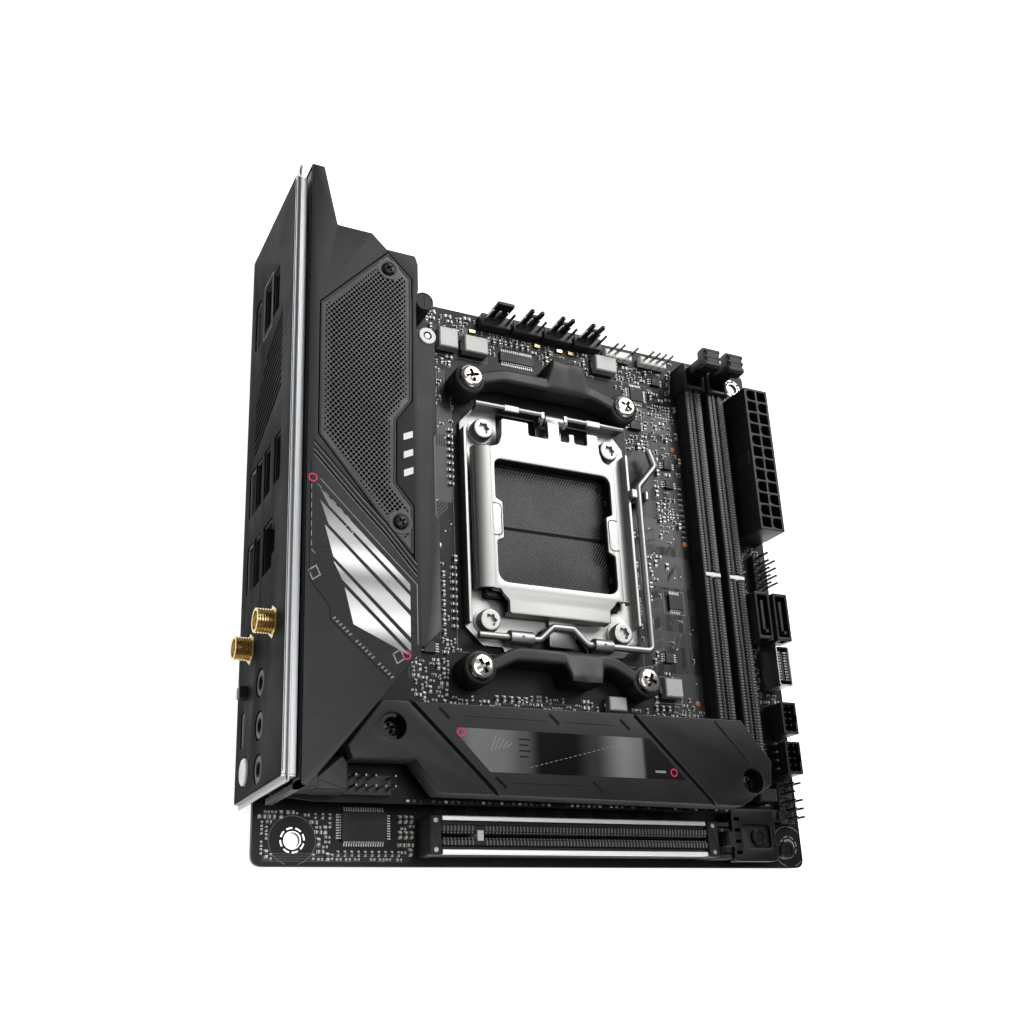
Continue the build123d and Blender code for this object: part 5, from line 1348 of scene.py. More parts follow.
def build_load_plate():
    m = Maker()
    top, under = 7.9, 6.6
    outline = [
        (66.0, 76.7), (67.9, 76.7), (68.6, 75.4), (70.4, 73.6), (70.4, 70.0), (71.2, 69.6), (103.2, 69.6),
                (104.0, 70.0),
        (104.0, 73.6), (105.8, 75.4), (106.6, 76.7), (109.0, 76.7), (109.0, 121.6), (105.4, 122.6),
                (104.4, 125.6),
        (104.2, 131.0), (103.6, 131.6), (100.0, 131.6), (100.0, 127.4), (95.6, 127.4), (95.6, 130.4),
                (93.6, 130.4),
        (93.6, 127.4), (90.4, 127.4), (90.4, 133.2), (86.2, 133.2), (86.2, 127.4), (79.6, 127.4),
                (79.6, 131.6),
        (70.8, 131.6), (70.2, 131.0), (70.0, 125.6), (69.0, 122.6), (66.0, 121.6),
    ]
    radii = [0, 0.6, 1.2, 1.2, 0.4, 0.4, 0.4, 0.4, 1.2, 1.2, 0.6, 0, 0, 2.0, 1.4, 0.4, 0.4, 0.5, 0.8, 0.8,
             0.5, 0.5, 0.8,
             0.8, 0.2, 0.2, 0.8, 0.8, 0.5, 0.4, 0.4, 1.4, 2.0, 0]
    window = [
        (67.5, 79.0), (107.2, 79.0), (107.2, 91.4), (104.9, 92.4), (104.9, 104.0), (107.2, 105.0),
        (107.2, 117.8), (67.5, 117.8), (67.5, 105.0), (69.7, 104.0), (69.7, 92.4), (67.5, 91.4),
    ]
    window_radii = [3.6, 3.6, 1.0, 0.9, 0.9, 1.0, 3.0, 2.6, 1.0, 0.9, 0.9, 1.0]
    # Relief for the four screws bites into the corners
    m.plate([rounded(outline, radii, 4), rounded(window, window_radii, 7)], under, top, STEEL, 0.3, 3)
    # Side flanks curve down, then turn back under the plate
    stations = (77.0, 78.2, 99.0, 120.4, 121.6)
    for x_in, x_out in ((66.1, 61.0), (108.9, 112.4)):
        sign = 1 if x_out > x_in else -1
        profile = []
        for k in range(9):
            a = math.pi / 2 * k / 8
            profile.append((x_in + (x_out - x_in) * math.sin(a), top - 2.4 * (1 - math.cos(a))))
        x_back = x_out - sign * 0.9
        profile += [(x_out, 4.4), (x_back, 4.4), (x_back, 6.0), (x_in, under)]
        strip_surface(m, [[(x, y, z) for y in stations] for x, z in profile], STEEL_Y)
        for y in (stations[0], stations[-1]):
            m.add([(x, y, z) for x, z in profile], [tuple(range(len(profile)))], STEEL_Y)
    # Front edge folded down, with the nose under the lever's crank
    m.box(70.6, 103.8, 69.6, 70.7, 4.2, 6.9, STEEL)
    m.prism(rounded([(84.6, 61.8), (93.4, 61.8), (93.4, 70.4), (84.6, 70.4)], [0.8, 0.8, 0, 0], 4), 3.2, 4.4,
            STEEL, 0.2)
    # Hinge arm: a tongue with rolled barrel
    m.box(86.2, 90.4, 131.0, 134.4, 6.5, 7.5, STEEL, 0.15)
    m.place = ALONG_X
    m.plate([circle(HINGE_Y, HINGE_Z, 1.9, 36), circle(HINGE_Y, HINGE_Z, 1.05, 28)], 86.0, 92.4, STEEL, 0.1)
    m.place = UPRIGHT
    # Raised loop pressed into each tab
    for x0, x1 in ((65.4, 69.2), (105.4, 109.2)):
        loop = rounded(oblong(x0, x1, 93.0, 103.4), 1.6, 6)
        inner = rounded(oblong(x0 + 0.35, x1 - 0.35, 93.35, 103.05), 1.3, 6)
        m.plate([loop, inner], top - 0.04, top, STEEL_Y, 0.018, 1)
    m.done("load_plate_steel", ["load_plate"], body="load_plate", bevel=0.06, angle=50)


def smooth_path(points, radius, steps=8):
    """Open path with its inner corners rounded."""
    path = [Vector(p) for p in points]
    out = [path[0]]
    shares = [k / steps for k in range(steps + 1)]
    for a, p, b in zip(path, path[1:], path[2:]):
        u, v = a - p, b - p
        angle = u.angle(v)
        reach = min(radius / math.tan(angle / 2), u.length * 0.49, v.length * 0.49)
        s, e = p + u.normalized() * reach, p + v.normalized() * reach
        out += [s * (1 - t) ** 2 + p * 2 * t * (1 - t) + e * t ** 2 for t in shares]
    return out + [path[-1]]


def build_lever():
    m = Maker()
    route = [(61.2, 63.0), (80.4, 63.0), (85.0, 67.3), (91.8, 67.3), (96.4, 63.0), (118.8, 63.0),
             (118.8, 117.0),
             (125.8, 125.3), (123.8, 130.7)]
    m.tube(smooth_path([(x, y, LEVER_Z) for x, y in route], 2.0), 1.1, STEEL_Y, 20)
    m.done("lever_wire", ["socket_lever"], body="socket_lever", angle=60)


# ---------------------------------------------------------------- cooler brackets


def ease(t):
    """Smooth step from 0 to 1."""
    t = max(0.0, min(1.0, t))
    return t * t * (3 - 2 * t)


def bracket(name, node, row_y, bow, tip_y):
    """Curved moulded bar between two bosses; in the middle its wall sweeps out into a saddle-shaped lug."""
    m = Maker()
    lug_x = 92.8
    out = 1 if tip_y > row_y + bow else -1
    xs = [60.0 + 0.9 * i for i in range(27)]
    xs += [84.0 + 0.3 * i for i in range(59)]
    xs += [101.8 + 0.9 * i for i in range(14)]
    sections = []
    for x in xs:
        x = min(x, 114.0)
        swell = ease((x - 61.0) / 12.0) if x < lug_x else ease((113.0 - x) / 12.0)
        centre = row_y + 0.4 + bow * swell
        near, far = centre - 2.1, centre + 2.1
        side = abs(x - lug_x)
        fillet = 5.2 if out > 0 and x > lug_x else 2.6
        lug = ease(1 - (side - 4.6) / fillet) ** 1.3
        if out > 0:
            far += (tip_y - far) * lug
        else:
            near += (tip_y - near) * lug
        rim = 9.3 + 0.5 * swell
        row = [(x, near, 2.4), (x, near, rim - 0.9)]
        for k in range(9):
            t = k / 8
            y = near + (far - near) * (0.04 + 0.92 * t)
            reach = ease((y - near) / max(0.1, far - near)) if out > 0 else ease((far - y) / max(0.1,
                    far - near))
            crown = rim + (1.5 * reach) * lug - 0.5 * lug * math.exp(-(side / 2.4) ** 2) * reach
            edge = min(t, 1 - t) * 8
            z = crown - (0.35 if edge < 0.5 else 0.05 if edge < 1.5 else 0.0)
            row.append((x, y, min(z, 11.4)))
        end_rim = row[-1][2]
        row += [(x, far, end_rim - 0.6), (x, far, 2.4)]
        sections.append(row)
    n = len(sections[0])
    verts = [p for s in sections for p in s]
    faces = [(k * n + i, k * n + (i + 1) % n, (k + 1) * n + (i + 1) % n, (k + 1) * n + i)
             for k in range(len(sections) - 1) for i in range(n)]
    m.add(verts, faces, BRACKET)
    for x in (60.0, 114.0):
        m.turned(x, row_y, [(0, TOP), (4.8, TOP), (5.0, 3.0), (5.05, 8.4), (4.85, 9.0), (4.4, 9.35),
                            (0, 9.35)], BRACKET, 48)
    m.done(name, [node], angle=50)


def build_brackets():
    bracket("bracket_front", "cooler_bracket_front", 52.6, 4.3, 50.0)
    bracket("bracket_back", "cooler_bracket_back", 142.6, 2.6, 154.4)
    m = Maker()
    for i, (x, y) in enumerate(COOLER_HOLES):
        m.post(x, y, 1.5, -1.0, 9.8, NICKEL, 20)
        # Recess walls take the darker colour: painted shade
        cross_screw(m, x, y, 9.45, 3.95, 1.75, NICKEL, 0.5 + 0.7 * i, RECESS_SHADE)
    m.done("bracket_cross_screws", ["bracket_screws"], angle=50)


build_socket()
build_load_plate()
build_lever()
build_brackets()


# ---------------------------------------------------------------- memory slots


def build_memory():
    for index, x in enumerate(MEMORY_XS, start=1):
        m = Maker()
        # Two long walls with a groove between them
        for s in (-1, 1):
            a, b = sorted((x + s * 0.8, x + s * 3.25))
            m.box(a, b, 18.5, 157.0, TOP, 7.0, SATIN_BLACK, 0.25)
            a, b = sorted((x + s * 0.8, x + s * 1.7))
            m.box(a, b, 23.5, 156.4, 7.0, 7.4, SATIN_BLACK, 0.12)
            # Wells for the contacts, seen as a ladder along each wall
            for i in range(144):
                y = 22.6 + 0.925 * i
                if abs(y - MEMORY_KEY_Y) < 1.6:
                    continue
                a, b = sorted((x + s * 0.55, x + s * 0.82))
                m.box(a, b, y - 0.2, y + 0.2, 3.6, 7.3, RIB, 0, False)
                a, b = sorted((x + s * 1.72, x + s * 2.7))
                m.box(a, b, y - 0.17, y + 0.17, 6.98, 7.1, RIB, 0.03, False)
        m.box(x - 0.8, x + 0.8, 18.5, 157.0, TOP, 3.4, DEEP)
        m.box(x - 3.25, x + 3.25, 18.5, 22.2, TOP, 10.4, SATIN_BLACK, 0.4)
        m.box(x - 0.8, x + 0.8, 21.8, 22.6, 5.0, 10.0, DEEP)
        for s in (-1, 1):
            a, b = sorted((x + s * 2.95, x + s * 4.1))
            m.box(a, b, 155.6, 165.0, TOP, 9.0, SATIN_BLACK, 0.3)
        m.box(x - 4.0, x + 4.0, 156.0, 157.2, TOP, 8.6, SATIN_BLACK, 0.3)
        m.done(f"memory_slot_body_{index}", [f"memory_slot_{index}"])

        m = Maker()
        m.place = ALONG_X
        side = rounded([(159.4, 4.8), (158.9, 3.0), (161.0, 2.2), (163.2, 3.2), (163.6, 8.0), (163.6, 15.2),
                        (165.4, 16.2), (165.6, 19.0),
                        (164.6, 19.9), (158.8, 19.9), (158.4, 18.8), (158.5, 16.2), (160.0, 15.0)], 0.5, 3)
        m.plate([side], x - 2.5, x + 2.5, SATIN_BLACK, 0.3)
        head = rounded([(158.5, 15.6), (165.2, 15.6), (165.6, 16.4), (165.6, 18.8), (164.8, 20.0),
                        (163.9, 20.0), (163.6, 19.4), (162.6, 19.4),
                        (162.3, 20.0), (161.6, 20.0), (161.3, 19.4), (160.4, 19.4), (160.1, 20.0),
                                (158.9, 20.0), (158.4, 19.0)], 0.2, 2)
        m.plate([head], x - 3.1, x + 3.1, SATIN_BLACK, 0.25)
        m.turned(161.0, 4.8, [(0, x - 3.95), (1.0, x - 3.95), (1.0, x + 3.95), (0, x + 3.95)], SATIN_BLACK,
                 20)
        m.place = UPRIGHT
        # Foot that lifts the module
        m.box(x - 0.7, x + 0.7, 158.4, 160.2, 3.0, 6.2, SATIN_BLACK, 0.15)
        m.done(f"memory_latch_body_{index}", [f"memory_latch_{index}"],
               body=f"memory_latch_{index}")
    m = Maker()
    for x in MEMORY_XS:
        m.box(x - 0.78, x + 0.78, MEMORY_KEY_Y - 0.8, MEMORY_KEY_Y + 0.8, 3.4, 7.4, WHITE, 0.1)
        m.box(x - 2.9, x + 2.9, MEMORY_KEY_Y - 0.6, MEMORY_KEY_Y + 0.6, 6.9, 7.5, WHITE, 0.08)
    for half_x, half_y, z0, z1, chamfer in ((0.8, 0.85, 3.2, 10.1, 0.15), (0.9, 1.35, 9.9, 10.3, 0.1)):
        m.box(SLOT_KEY_X - half_x, SLOT_KEY_X + half_x, SLOT_Y - half_y, SLOT_Y + half_y, z0, z1, WHITE,
              chamfer)
    m.done("slot_key_blocks", ["slot_keys"], bevel=0.06)


# ---------------------------------------------------------------- power and header connectors


def wells(x0, x1, y0, y1, columns, rows):
    """Centre of each well of a power socket, and whether it has the chamfered, keyed shape."""
    step_x, step_y = (x1 - x0 - 1.0) / columns, (y1 - y0 - 1.0) / rows
    return [(x0 + 0.5 + step_x * (c + 0.5), y0 + 0.5 + step_y * (r + 0.5), (c + r) % 2)
            for c in range(columns) for r in range(rows)]


def build_power():
    names = {"main_power_socket": "board_power_socket", "cpu_power_socket": "processor_power_socket"}
    for node, area in POWER_AREAS.items():
        x0, x1, y0, y1 = area[:4]
        m = Maker()
        holes = []
        for x, y, keyed in wells(*area):
            square = oblong(x - 1.72, x + 1.72, y - 1.72, y + 1.72)
            holes.append(rounded(square, [1.5, 0.1, 0.1, 1.5] if keyed else 0.12, 3))
        m.plate([rounded(oblong(x0, x1, y0, y1), 0.4, 3)] + holes, 4.2, 14.3, SATIN_BLACK, 0.12)
        m.prism(oblong(x0 + 0.2, x1 - 0.2, y0 + 0.2, y1 - 0.2), TOP, 4.3, SATIN_BLACK)
        for x, y, _ in wells(*area):
            m.prism(oblong(x - 1.7, x + 1.7, y - 1.7, y + 1.7), 4.3, 4.5, DEEP)
        if node == "main_power_socket":
            # Retaining catch and ribs on the inner face
            m.box(x0 - 0.55, x0 + 0.1, 128.6, 134.0, 7.0, 13.2, SATIN_BLACK, 0.3)
            for i in range(13):
                y = y0 + 0.5 + 4.2 * i
                m.box(x0 - 0.16, x0 + 0.1, y - 0.3, y + 0.3, 2.2, 13.6, SATIN_BLACK, 0.1)
        m.done(names[node], [node])
    m = Maker()
    for area in POWER_AREAS.values():
        for x, y, _ in wells(*area):
            m.box(x - 0.45, x + 0.45, y - 0.45, y + 0.45, 4.4, 11.0, PIN, 0.25)
    m.done("power_pin_posts", ["power_pins"])


def pin(m, x, y, z0, z1):
    """Square pin with a tapered tip."""
    half = 0.32
    m.box(x - half, x + half, y - half, y + half, z0, z1, PIN, 0.18)


def build_headers():
    m = Maker()
    for k, x0 in enumerate(FAN_XS):
        m.prism(rounded([(x0, 165.4), (x0 + 10.2, 165.4), (x0 + 10.2, 169.7), (x0, 169.7)], 0.3, 2), TOP,
                4.8, BLACK, 0.25)
        m.place = ALONG_Y
        a, b = x0 + 2.6, x0 + 7.6
        # Upright friction wall: two tall posts joined by a lower bridge
        if k:
            # Local axes: first is Z, second is X
            wall = [(4.4, a), (12.0, a), (12.4, a + 0.5), (12.4, a + 1.3), (9.6, a + 1.5), (9.6, b - 1.5),
                    (12.4, b - 1.3), (12.4, b - 0.5),
                    (12.0, b), (4.4, b)]
        else:
            wall = [(4.4, a - 0.4), (12.2, a - 0.4), (12.4, a), (12.4, b), (12.2, b + 0.4), (4.4, b + 0.4)]
        m.plate([rounded(wall, 0.25, 2)], 168.7, 169.8, BLACK, 0.12)
        m.place = UPRIGHT
        m.box(a + 1.6, b - 1.6, 168.3, 168.8, 4.6, 7.4, BLACK, 0.1)
    m.done("fan_header_bodies", ["fan_headers"])

    m = Maker()
    for x0 in (112.2, 125.9):
        m.box(x0, x0 + 10.2, 164.4, 167.2, TOP, 4.2, WHITE, 0.3)
        for i in range(3):
            m.box(x0 + 2.4 + PITCH * i, x0 + 2.7 + PITCH * i, 164.38, 167.2, TOP, 4.0, CHIP)
    m.done("light_header_bodies", ["light_headers"], bevel=0.06)

    m = Maker()
    for x0 in FAN_XS:
        for i in range(4):
            pin(m, x0 + 1.3 + PITCH * i, 167.4, 4.6, 10.6)
    for i in (0, 1, 3):
        pin(m, 113.5 + PITCH * i, 165.8, 4.0, 10.4)
    for i in range(4):
        pin(m, 127.2 + PITCH * i, 165.8, 4.0, 10.4)
    for x in (164.3, 166.84):
        for i in range(5):
            if not (x > 166 and i == 4):
                pin(m, x, 88.9 + PITCH * i, 3.9, 10.4)
    for x in (162.9, 165.44):
        for i in range(5):
            if not (x > 165 and i == 3):
                pin(m, x, 14.1 + PITCH * i, 3.9, 10.4)
    for i in range(4):
        pin(m, 158.1, 28.4 + PITCH * i, 3.9, 10.4)
    m.done("bare_header_pins", ["header_pins"], smooth=False)

    m = Maker()
    for x0, x1, y0, y1, cols, rows in ((163.0, 168.1, 87.6, 100.4, 2, 5), (161.6, 166.7, 12.8, 25.6, 2, 5),
                                       (156.8, 159.4, 27.1, 37.3, 1, 4)):
        for c in range(cols):
            for r in range(rows):
                x, y = x0 + 1.27 + PITCH * c, y0 + 1.3 + PITCH * r
                m.prism(rounded(oblong(x - 1.27, x + 1.27, y - 1.27, y + 1.27), 0.4, 2), TOP + 0.2, 4.1,
                        BLACK, 0.2)
    m.done("header_base_blocks", ["header_bases"], smooth=False)

    m = Maker()
    for x0, y0 in ((162.1, 39.4), (161.8, 27.0)):
        outer = rounded(oblong(x0, x0 + 5.7, y0, y0 + 10.0), 0.3, 2)
        inner = [(x0 + 0.75, y0 + 0.75), (x0 + 4.95, y0 + 0.75), (x0 + 4.95, y0 + 3.8), (x0 + 5.4, y0 + 3.8),
                 (x0 + 5.4, y0 + 6.2),
                 (x0 + 4.95, y0 + 6.2), (x0 + 4.95, y0 + 9.25), (x0 + 0.75, y0 + 9.25)]
        m.plate([outer, inner], 3.4, 10.0, BLACK, 0.12)
        m.prism(oblong(x0 + 0.1, x0 + 5.6, y0 + 0.1, y0 + 9.9), TOP, 3.5, BLACK)
        for c in range(2):
            for r in range(5):
                m.box(x0 + 1.6 + 2 * c, x0 + 2.1 + 2 * c, y0 + 0.75 + 2 * r, y0 + 1.25 + 2 * r, 3.4, 9.2,
                      PIN, 0.15)
    m.done("boxed_headers", ["shrouded_headers"])

    m = Maker()
    y0 = 69.4
    for x0 in (156.9, 164.1):
        outer = rounded(oblong(x0, x0 + 5.7, y0, y0 + 15.8), 0.5, 3)
        inner = rounded(oblong(x0 + 0.9, x0 + 4.8, y0 + 1.2, y0 + 14.6), 0.4, 2)
        m.plate([outer, inner], 3.6, 10.2, SATIN_BLACK, 0.2)
        m.prism(oblong(x0 + 0.2, x0 + 5.5, y0 + 0.2, y0 + 15.6), TOP, 3.8, SATIN_BLACK)
        # L-shaped tongue with seven contacts
        m.box(x0 + 2.3, x0 + 3.4, y0 + 2.4, y0 + 13.2, 3.6, 9.6, SATIN_BLACK, 0.1)
        m.box(x0 + 2.3, x0 + 4.5, y0 + 2.4, y0 + 3.5, 3.6, 9.6, SATIN_BLACK, 0.1)
        for i in range(7):
            y = y0 + 4.6 + 1.27 * i
            m.box(x0 + 3.38, x0 + 3.5, y - 0.3, y + 0.3, 3.8, 8.8, GOLD)
        m.box(x0 + 1.6, x0 + 4.1, y0, y0 + 1.1, 7.4, 10.15, SATIN_BLACK, 0.2)
    m.done("drive_connector_bodies", ["sata_connectors"])

    m = Maker()
    outer = rounded(oblong(162.5, 167.6, 54.6, 67.4), 0.7, 4)
    inner = rounded(oblong(162.9, 167.2, 55.0, 67.0), 0.5, 4)
    m.plate([outer, inner], TOP, 10.4, PORT, 0.1)
    m.prism(inner, TOP, 3.0, BLACK)
    m.box(164.5, 165.6, 56.4, 65.6, 2.4, 9.4, BLACK, 0.2)
    for i in range(11):
        y = 56.7 + 0.88 * i
        m.box(163.0, 164.4, y - 0.2, y + 0.2, 3.0, 9.6, CELL)
        m.box(165.7, 167.1, y - 0.2, y + 0.2, 3.0, 9.6, CELL)
    m.done("front_panel_socket", ["front_usb_connector"])


# ---------------------------------------------------------------- expansion slot


def build_expansion_slot():
    m = Maker()
    y = SLOT_Y
    for s in (-1, 1):
        a, b = sorted((y + s * 0.9, y + s * 2.6))
        m.box(44.6, 131.4, a, b, TOP, 10.0, SATIN_BLACK, 0.25)
        a, b = sorted((y + s * 2.6, y + s * 4.9))
        m.box(46.4, 129.0, a, b, 3.2, 9.2, SATIN_BLACK, 0.2)
        # Contact wells seen as a row of fine ribs
        for i in range(82):
            x = 47.6 + 1.0 * i
            if abs(x - SLOT_KEY_X) < 1.4:
                continue
            a, b = sorted((y + s * 0.55, y + s * 0.92))
            m.box(x - 0.2, x + 0.2, a, b, 4, 9.8, RIB, 0, False)
            a, b = sorted((y + s * 1.1, y + s * 2.5))
            m.box(x - 0.16, x + 0.16, a, b, 9.98, 10.08, RIB, 0.03, False)
    m.box(44.6, 131.4, y - 0.9, y + 0.9, TOP, 3.2, DEEP)
    for x0, x1 in ((43.5, 46.7), (129.4, 133.0)):
        m.prism(rounded(oblong(x0, x1, 2.1, 12.2), 0.6, 3), TOP, 10.4, SATIN_BLACK, 0.25)
        for sy in (3.4, 10.8):
            m.post((x0 + x1) / 2, sy, 0.6, 10.3, 10.42, TIN, 16)
    for a, b in ((1.9, 3.3), (11.0, 12.4)):
        m.box(132.0, 139.4, a, b, TOP, 7.4, SATIN_BLACK, 0.3)
    m.done("long_slot_body", ["expansion_slot"])

    m = Maker()
    for ry in (2.9, 11.3):
        # Folded steel strip
        m.box(46.7, 128.4, ry - 0.55, ry + 0.55, 10.5, 10.98, RAIL, 0.14)
        outer = ry - 0.6 if ry < SLOT_Y else ry + 0.4
        m.box(46.9, 128.2, outer, outer + 0.2, 3.4, 10.8, RAIL)
    m.done("slot_steel_rails", ["slot_rails"])

    m = Maker()
    pivot_z, pivot_x = 5.0, 137.0
    m.place = ALONG_Y
    m.turned(pivot_z, pivot_x, [(0, 3.7), (2.1, 3.7), (2.2, 3.9), (2.2, 10.4), (2.1, 10.6), (0, 10.6)],
             SATIN_BLACK, 32)
    m.turned(pivot_z, pivot_x, [(0, 2.1), (1.0, 2.1), (1.0, 12.2), (0, 12.2)], SATIN_BLACK, 24)
    m.place = UPRIGHT
    m.prism(rounded(oblong(134.5, 137.6, 4.9, 9.3), 0.4, 3), 5.0, 12.6, SATIN_BLACK, 0.4)
    m.box(137.0, 142.0, 3.7, 10.6, 5.6, 7.2, SATIN_BLACK, 0.2)
    plan = rounded([(139.8, 1.2), (154.0, 1.2), (155.4, 2.6), (159.4, 2.6), (159.4, 6.4), (155.4, 6.6),
                    (155.4, 13.0), (159.4, 13.0),
                    (159.4, 16.4), (139.8, 16.4)], 0.4, 3)
    m.prism(plan, 5.6, 7.2, SATIN_BLACK, 0.3)
    rim = rounded(oblong(139.8, 155.4, 1.2, 16.4), 1.4, 4)
    pocket = rounded(oblong(143.2, 153.6, 5.0, 11.8), 1.4, 4)
    m.plate([rim, pocket], 7.0, 8.2, SATIN_BLACK, 0.3)
    m.turned(149.5, 8.3, [(2.6, 7.0), (2.6, 7.9), (2.3, 8.15), (1.5, 8.15), (1.3, 7.8), (0, 7.8)],
             SATIN_BLACK, 40)
    for i in range(4):
        m.box(140.6, 142.6, 3.2 + 3.2 * i, 4.2 + 3.2 * i, 8.1, 8.2, SATIN_BLACK)
    m.turned(159.4, 4.6, [(0, 5.6), (2.5, 5.6), (2.55, 7.8), (2.3, 8.15), (1.6, 8.15), (1.5, 7.9), (0, 7.9)],
             SATIN_BLACK, 40)
    m.turned(159.3, 14.7, [(0, 5.6), (2.0, 5.6), (2.05, 7.8), (1.8, 8.15), (1.2, 8.15), (1.1, 7.9),
                           (0, 7.9)], SATIN_BLACK, 36)
    m.done("slot_release_lever", ["slot_latch"], body="slot_latch", bevel=0.1)


# ---------------------------------------------------------------- stacked storage card


def build_riser():
    m = Maker()
    outline = rounded([(0.4, 15.6), (12.0, 14.3), (136.0, 14.3), (136.0, 39.0), (20.0, 39.0), (20.0, 46.5),
                       (0.4, 46.5)], 0.8, 3)
    holes = [circle(x, y, 1.3, 20) for x, y in RISER_POSTS]
    m.plate([outline] + holes, RISER_TOP - 0.5, RISER_TOP, MASK)
    m.plate([outline] + holes, RISER_UNDER, RISER_UNDER + 0.5, MASK)
    m.prism(grown(outline, -0.04), 12.4, 13.0, AMBER)
    # Small parts along the open edge of the daughterboard
    for i in range(58):
        x = 34.0 + 1.75 * i
        if rng.random() < 0.8:
            m.box(x, x + 0.9, 14.6, 15.2, RISER_TOP, RISER_TOP + 0.4,
                  rng.choice((CERAMIC, DARK_CERAMIC, TIN)), 0.05)
    for i in range(11):
        m.box(4 + 1.3 * i, 4.7 + 1.3 * i, 15.9, 16.6, RISER_TOP, RISER_TOP + 0.5,
              rng.choice((CERAMIC, DARK_CERAMIC)), 0.05)
    m.done("daughterboard", ["riser_board"])

    m = Maker()
    post = [(0, TOP), (2.6, TOP), (2.6, RISER_UNDER), (1.1, RISER_UNDER), (1.1, 14.2), (0, 14.2)]
    for x, y in RISER_POSTS:
        m.turned(x, y, post, NICKEL, 6)
    m.turned(48.0, 26.8, [(0, RISER_TOP), (2.4, RISER_TOP), (2.4, 14.6), (0, 14.6)], NICKEL, 24)
    m.done("threaded_standoffs", ["standoffs"], bevel=0.1)

    m = Maker()
    m.box(18.6, 31.2, 15.9, 20.9, RISER_TOP, 15.9, BLACK, 0.3)
    for row, y in enumerate((17.1, 19.6)):
        for i in range(5):
            if not (row and i == 3):
                pin(m, 19.8 + PITCH * i, y, 15.7, 22.0)
    m.done("audio_pin_header", ["audio_header"])

    m = Maker()
    outline = rounded([(9.8, 15.6), (18.2, 15.6), (18.2, 22.6), (16.6, 24.6), (9.8, 18.6)], 0.4, 3)
    m.prism(outline, RISER_TOP, 21.0, BLACK, 0.5)
    m.done("audio_cover", ["riser_shield"], bevel=0.12)


M2_OUTLINE = [
    (16.9, 26.1), (26.0, 37.9), (134.9, 38.9), (144.2, 27.5), (143.2, 20.7),
    (132.3, 14.4), (40.8, 15.4), (34.4, 23.4), (18.1, 23.1),
]


def clipped(points, a, b, keep_left, offset=0.0):
    """Part of a convex polygon on one side of the line a-b, pulled back by offset."""
    a, b = Vector(a), Vector(b)
    normal = Vector((a.y - b.y, b.x - a.x)).normalized() * (1 if keep_left else -1)
    made = []
    for i, here in enumerate(points):
        p, q = Vector(points[i - 1]), Vector(here)
        dp, dq = (p - a).dot(normal) - offset, (q - a).dot(normal) - offset
        if (dp >= 0) != (dq >= 0):
            made.append(tuple(p + (q - p) * (dp / (dp - dq))))
        if dq >= 0:
            made.append(tuple(q))
    return made


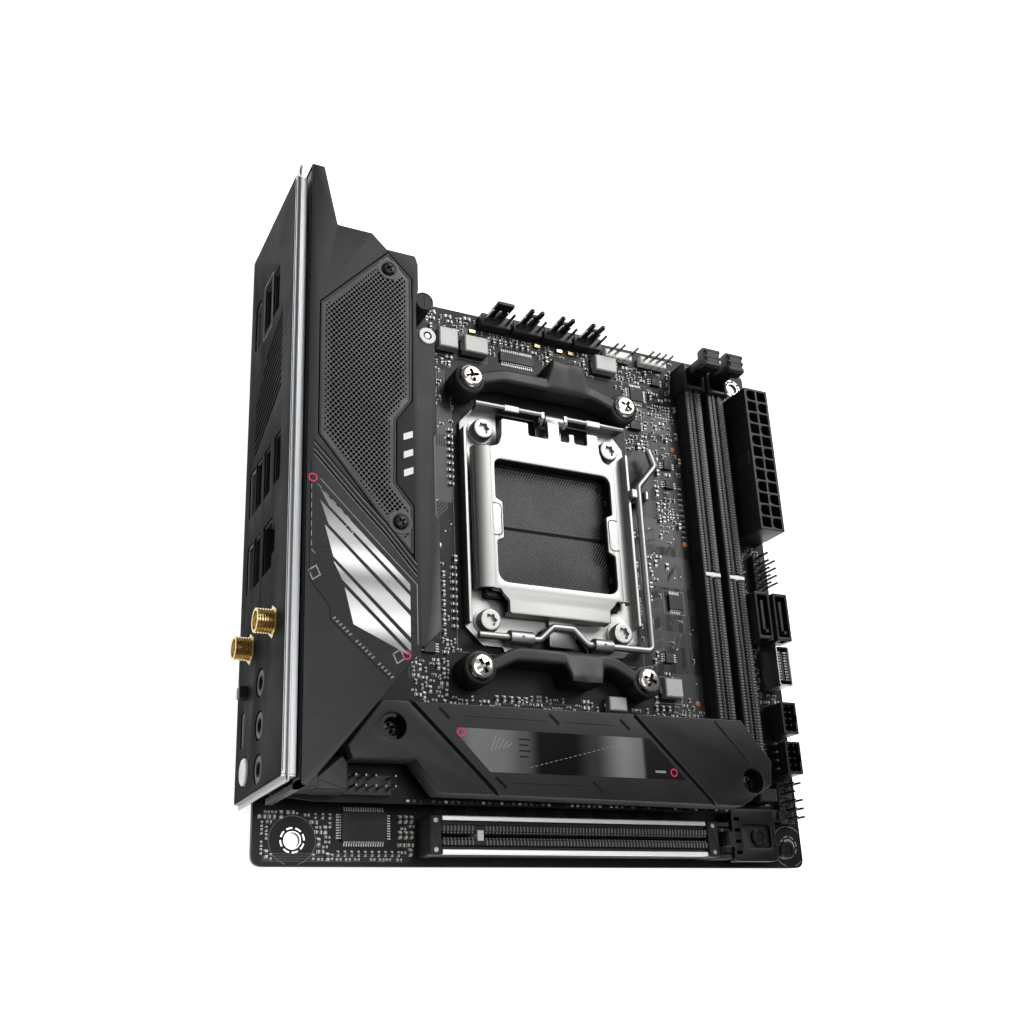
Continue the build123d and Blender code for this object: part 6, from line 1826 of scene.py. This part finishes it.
def build_storage_heatsink():
    m = Maker()
    top, floor = HEATSINK_TOP, HEATSINK_TOP - 0.9
    recesses = [circle(x, y, 3.4, 48) for x, y in STORAGE_SCREWS]
    m.plate([M2_OUTLINE] + recesses, 17.0, floor, HEATSINK, 0.1, 1)
    for x, y in STORAGE_SCREWS:
        m.turned(x, y, [(3.42, top - 0.4), (3.42, 20.0), (1.6, 20.0)], DEEP, 40)
    channels = [((33.1, 38.3), (56.5, 15.5)), ((99.1, 38.1), (122.7, 14.9))]
    shape = grown(M2_OUTLINE, -0.02)
    left = clipped(shape, *channels[0], False, 0.5)
    middle = clipped(clipped(shape, *channels[0], True, 0.5), *channels[1], False, 0.5)
    right = clipped(shape, *channels[1], True, 0.5)
    m.plate([left, recesses[0]], floor - 0.2, top, HEATSINK, 0.3, 3)
    m.plate([middle], floor - 0.2, top, HEATSINK, 0.3, 3)
    m.plate([right, recesses[1]], floor - 0.2, top, HEATSINK, 0.3, 3)
    # Painted shade on the floors of the channels, and a fine line of painted shade across the right-hand
    # facet
    for a, b in channels:
        m.ribbon([a, b], 1.3, floor + 0.01, DEEP)
    m.ribbon([(125.6, 38.0), (136.2, 26.8)], 0.8, top + 0.004, DEEP)
    m.ribbon([(126.3, 38.0), (136.9, 26.8)], 0.14, top + 0.006, ENGRAVED)
    # C-shaped land round the left screw
    m.ribbon(arc_points(*STORAGE_SCREWS[0], 2.9, 70, 290, 22), 1.0, top - 0.5, HEATSINK)
    m.done("storage_heatsink", ["m2_heatsink"], angle=30)

    m = Maker()
    z = top + 0.006
    # Plain slanted bars and hairlines along the edges of the middle facet
    for x, y in ((42.6, 35.4), (74.0, 35.6), (95.8, 35.4), (57.8, 18.4), (86.0, 18.2)):
        m.ribbon([(x - 1.6, y + 1.3), (x + 1.2, y - 1.3)], 0.9, z, DEEP)
    for a, b in (((48.0, 35.0), (71.4, 35.0)), ((77.0, 35.0), (92.6, 35.0)), ((61.0, 18.4), (83.0, 18.4))):
        m.ribbon([a, b], 0.16, z, DEEP)
    m.done("storage_heatsink_marks", [], smooth=False)

    m = Maker()
    # Label plate; the bright and dark bands along X in its colour are painted sheen
    label = [(44.0, 32.0), (103.4, 32.0), (114.0, 21.0), (54.6, 21.0)]
    m.prism(label, top - 0.5, top + 0.03, LABEL, 0.03)
    for k in range(5):
        m.ribbon([(56.6 + 1.1 * k, 30.6 - 0.5 * k), (55.0 + 1.1 * k, 26.4 + 0.3 * k)], 0.22, top + 0.045,
                 SILK)
    for k in range(4):
        m.ribbon([(63.0, 29.8 - 1.5 * k), (66.4 - 0.7 * (k % 2), 29.8 - 1.5 * k)], 0.35, top + 0.045, DEEP)
    m.ribbon([(104.2, 23.0), (107.6, 23.0)], 0.6, top + 0.045, SILK)
    for k in range(22):
        x, y = 66.0 + 1.45 * k, 22.6 + 0.38 * k
        m.ribbon([(x, y), (x + 0.85, y + 0.22)], 0.12, top + 0.045, PALE_PRINT_AND_HIGHLIGHT)
    for x, y in ((46.8, 30.8), (110.2, 22.9)):
        m.ring(x, y, 0.78, 1.14, top, top + 0.07, RING, 36)
    m.done("storage_label", ["m2_badge_plate"], smooth=False)


build_memory()
build_power()
build_headers()
build_expansion_slot()
build_riser()
build_storage_heatsink()
for node, finish in (("socket_backplate", BLACK_OXIDE_AND_HOLE_SHADE), ("backplate_insulator", BLACK),
                     ("chipset_heatsink", HEATSINK),
                     ("battery", CELL), ("card_connectors", BLACK), ("m2_latch", BLACK),
                             ("m2_thermal_pad", PAD)):
    keep(node, finish)


# ---------------------------------------------------------------- setting


def lamp(name, place, aim, size, power):
    """Square softbox turned towards a point, in metres and watts."""
    data = bpy.data.lights.new(name, "AREA")
    data.shape = "RECTANGLE"
    data.size = size
    data.size_y = size
    data.energy = power
    obj = bpy.data.objects.new(name, data)
    bpy.context.scene.collection.objects.link(obj)
    obj.location = place
    obj.rotation_euler = (Vector(aim) - Vector(place)).to_track_quat("-Z", "Y").to_euler()


def build_setting():
    bpy.ops.mesh.primitive_plane_add(size=8.0, location=(0, 0, REST * MM - 0.0002))
    floor = bpy.context.object
    floor.name = "floor"
    floor.data.materials.append(surface("pale_floor", (0.86, 0.86, 0.86), 0.8, vary=0.01, bump=0.0))
    glow = floor.data.materials[0].node_tree.nodes["Principled BSDF"]
    glow.inputs["Emission Color"].default_value = (1, 1, 1, 1)
    glow.inputs["Emission Strength"].default_value = 0.85
    bpy.context.scene.view_settings.view_transform = "Standard"
    world = bpy.data.worlds.new("studio")
    bpy.context.scene.world = world
    world.use_nodes = True
    background = world.node_tree.nodes["Background"]
    background.inputs["Color"].default_value = (1, 1, 1, 1)
    background.inputs["Strength"].default_value = 0.2

    lamp("key_softbox", (0.42, 0.62, 0.62), (0, 0.08, 0), 0.62, 6.8)
    lamp("top_softbox", (0.05, 0.1, 1.1), (0.0, 0.08, 0), 0.5, 3.2)
    lamp("left_softbox", (-0.9, 0.15, 0.3), (-0.05, 0.08, 0.02), 0.5, 1.0)
    lamp("front_softbox", (0.25, -0.75, 0.4), (0, 0.08, 0.0), 0.5, 0.9)

    camera = bpy.data.cameras.new("camera")
    camera.lens = 40.268
    camera.sensor_width = 36.0
    camera.shift_x = 0.0070
    camera.shift_y = 0.0451
    camera.clip_start = 0.01
    camera.clip_end = 20.0
    eye = bpy.data.objects.new("camera", camera)
    bpy.context.scene.collection.objects.link(eye)
    turn = Matrix(((0.89705266, -0.11479085, -0.42675471), (-0.04321359, 0.93826212, -0.34321536),
                   (0.43980576, 0.32632386, 0.83671001)))
    eye.matrix_world = Matrix.Translation((-0.15928, -0.03616, 0.28730)) @ turn.to_4x4()
    bpy.context.scene.camera = eye


build_setting()
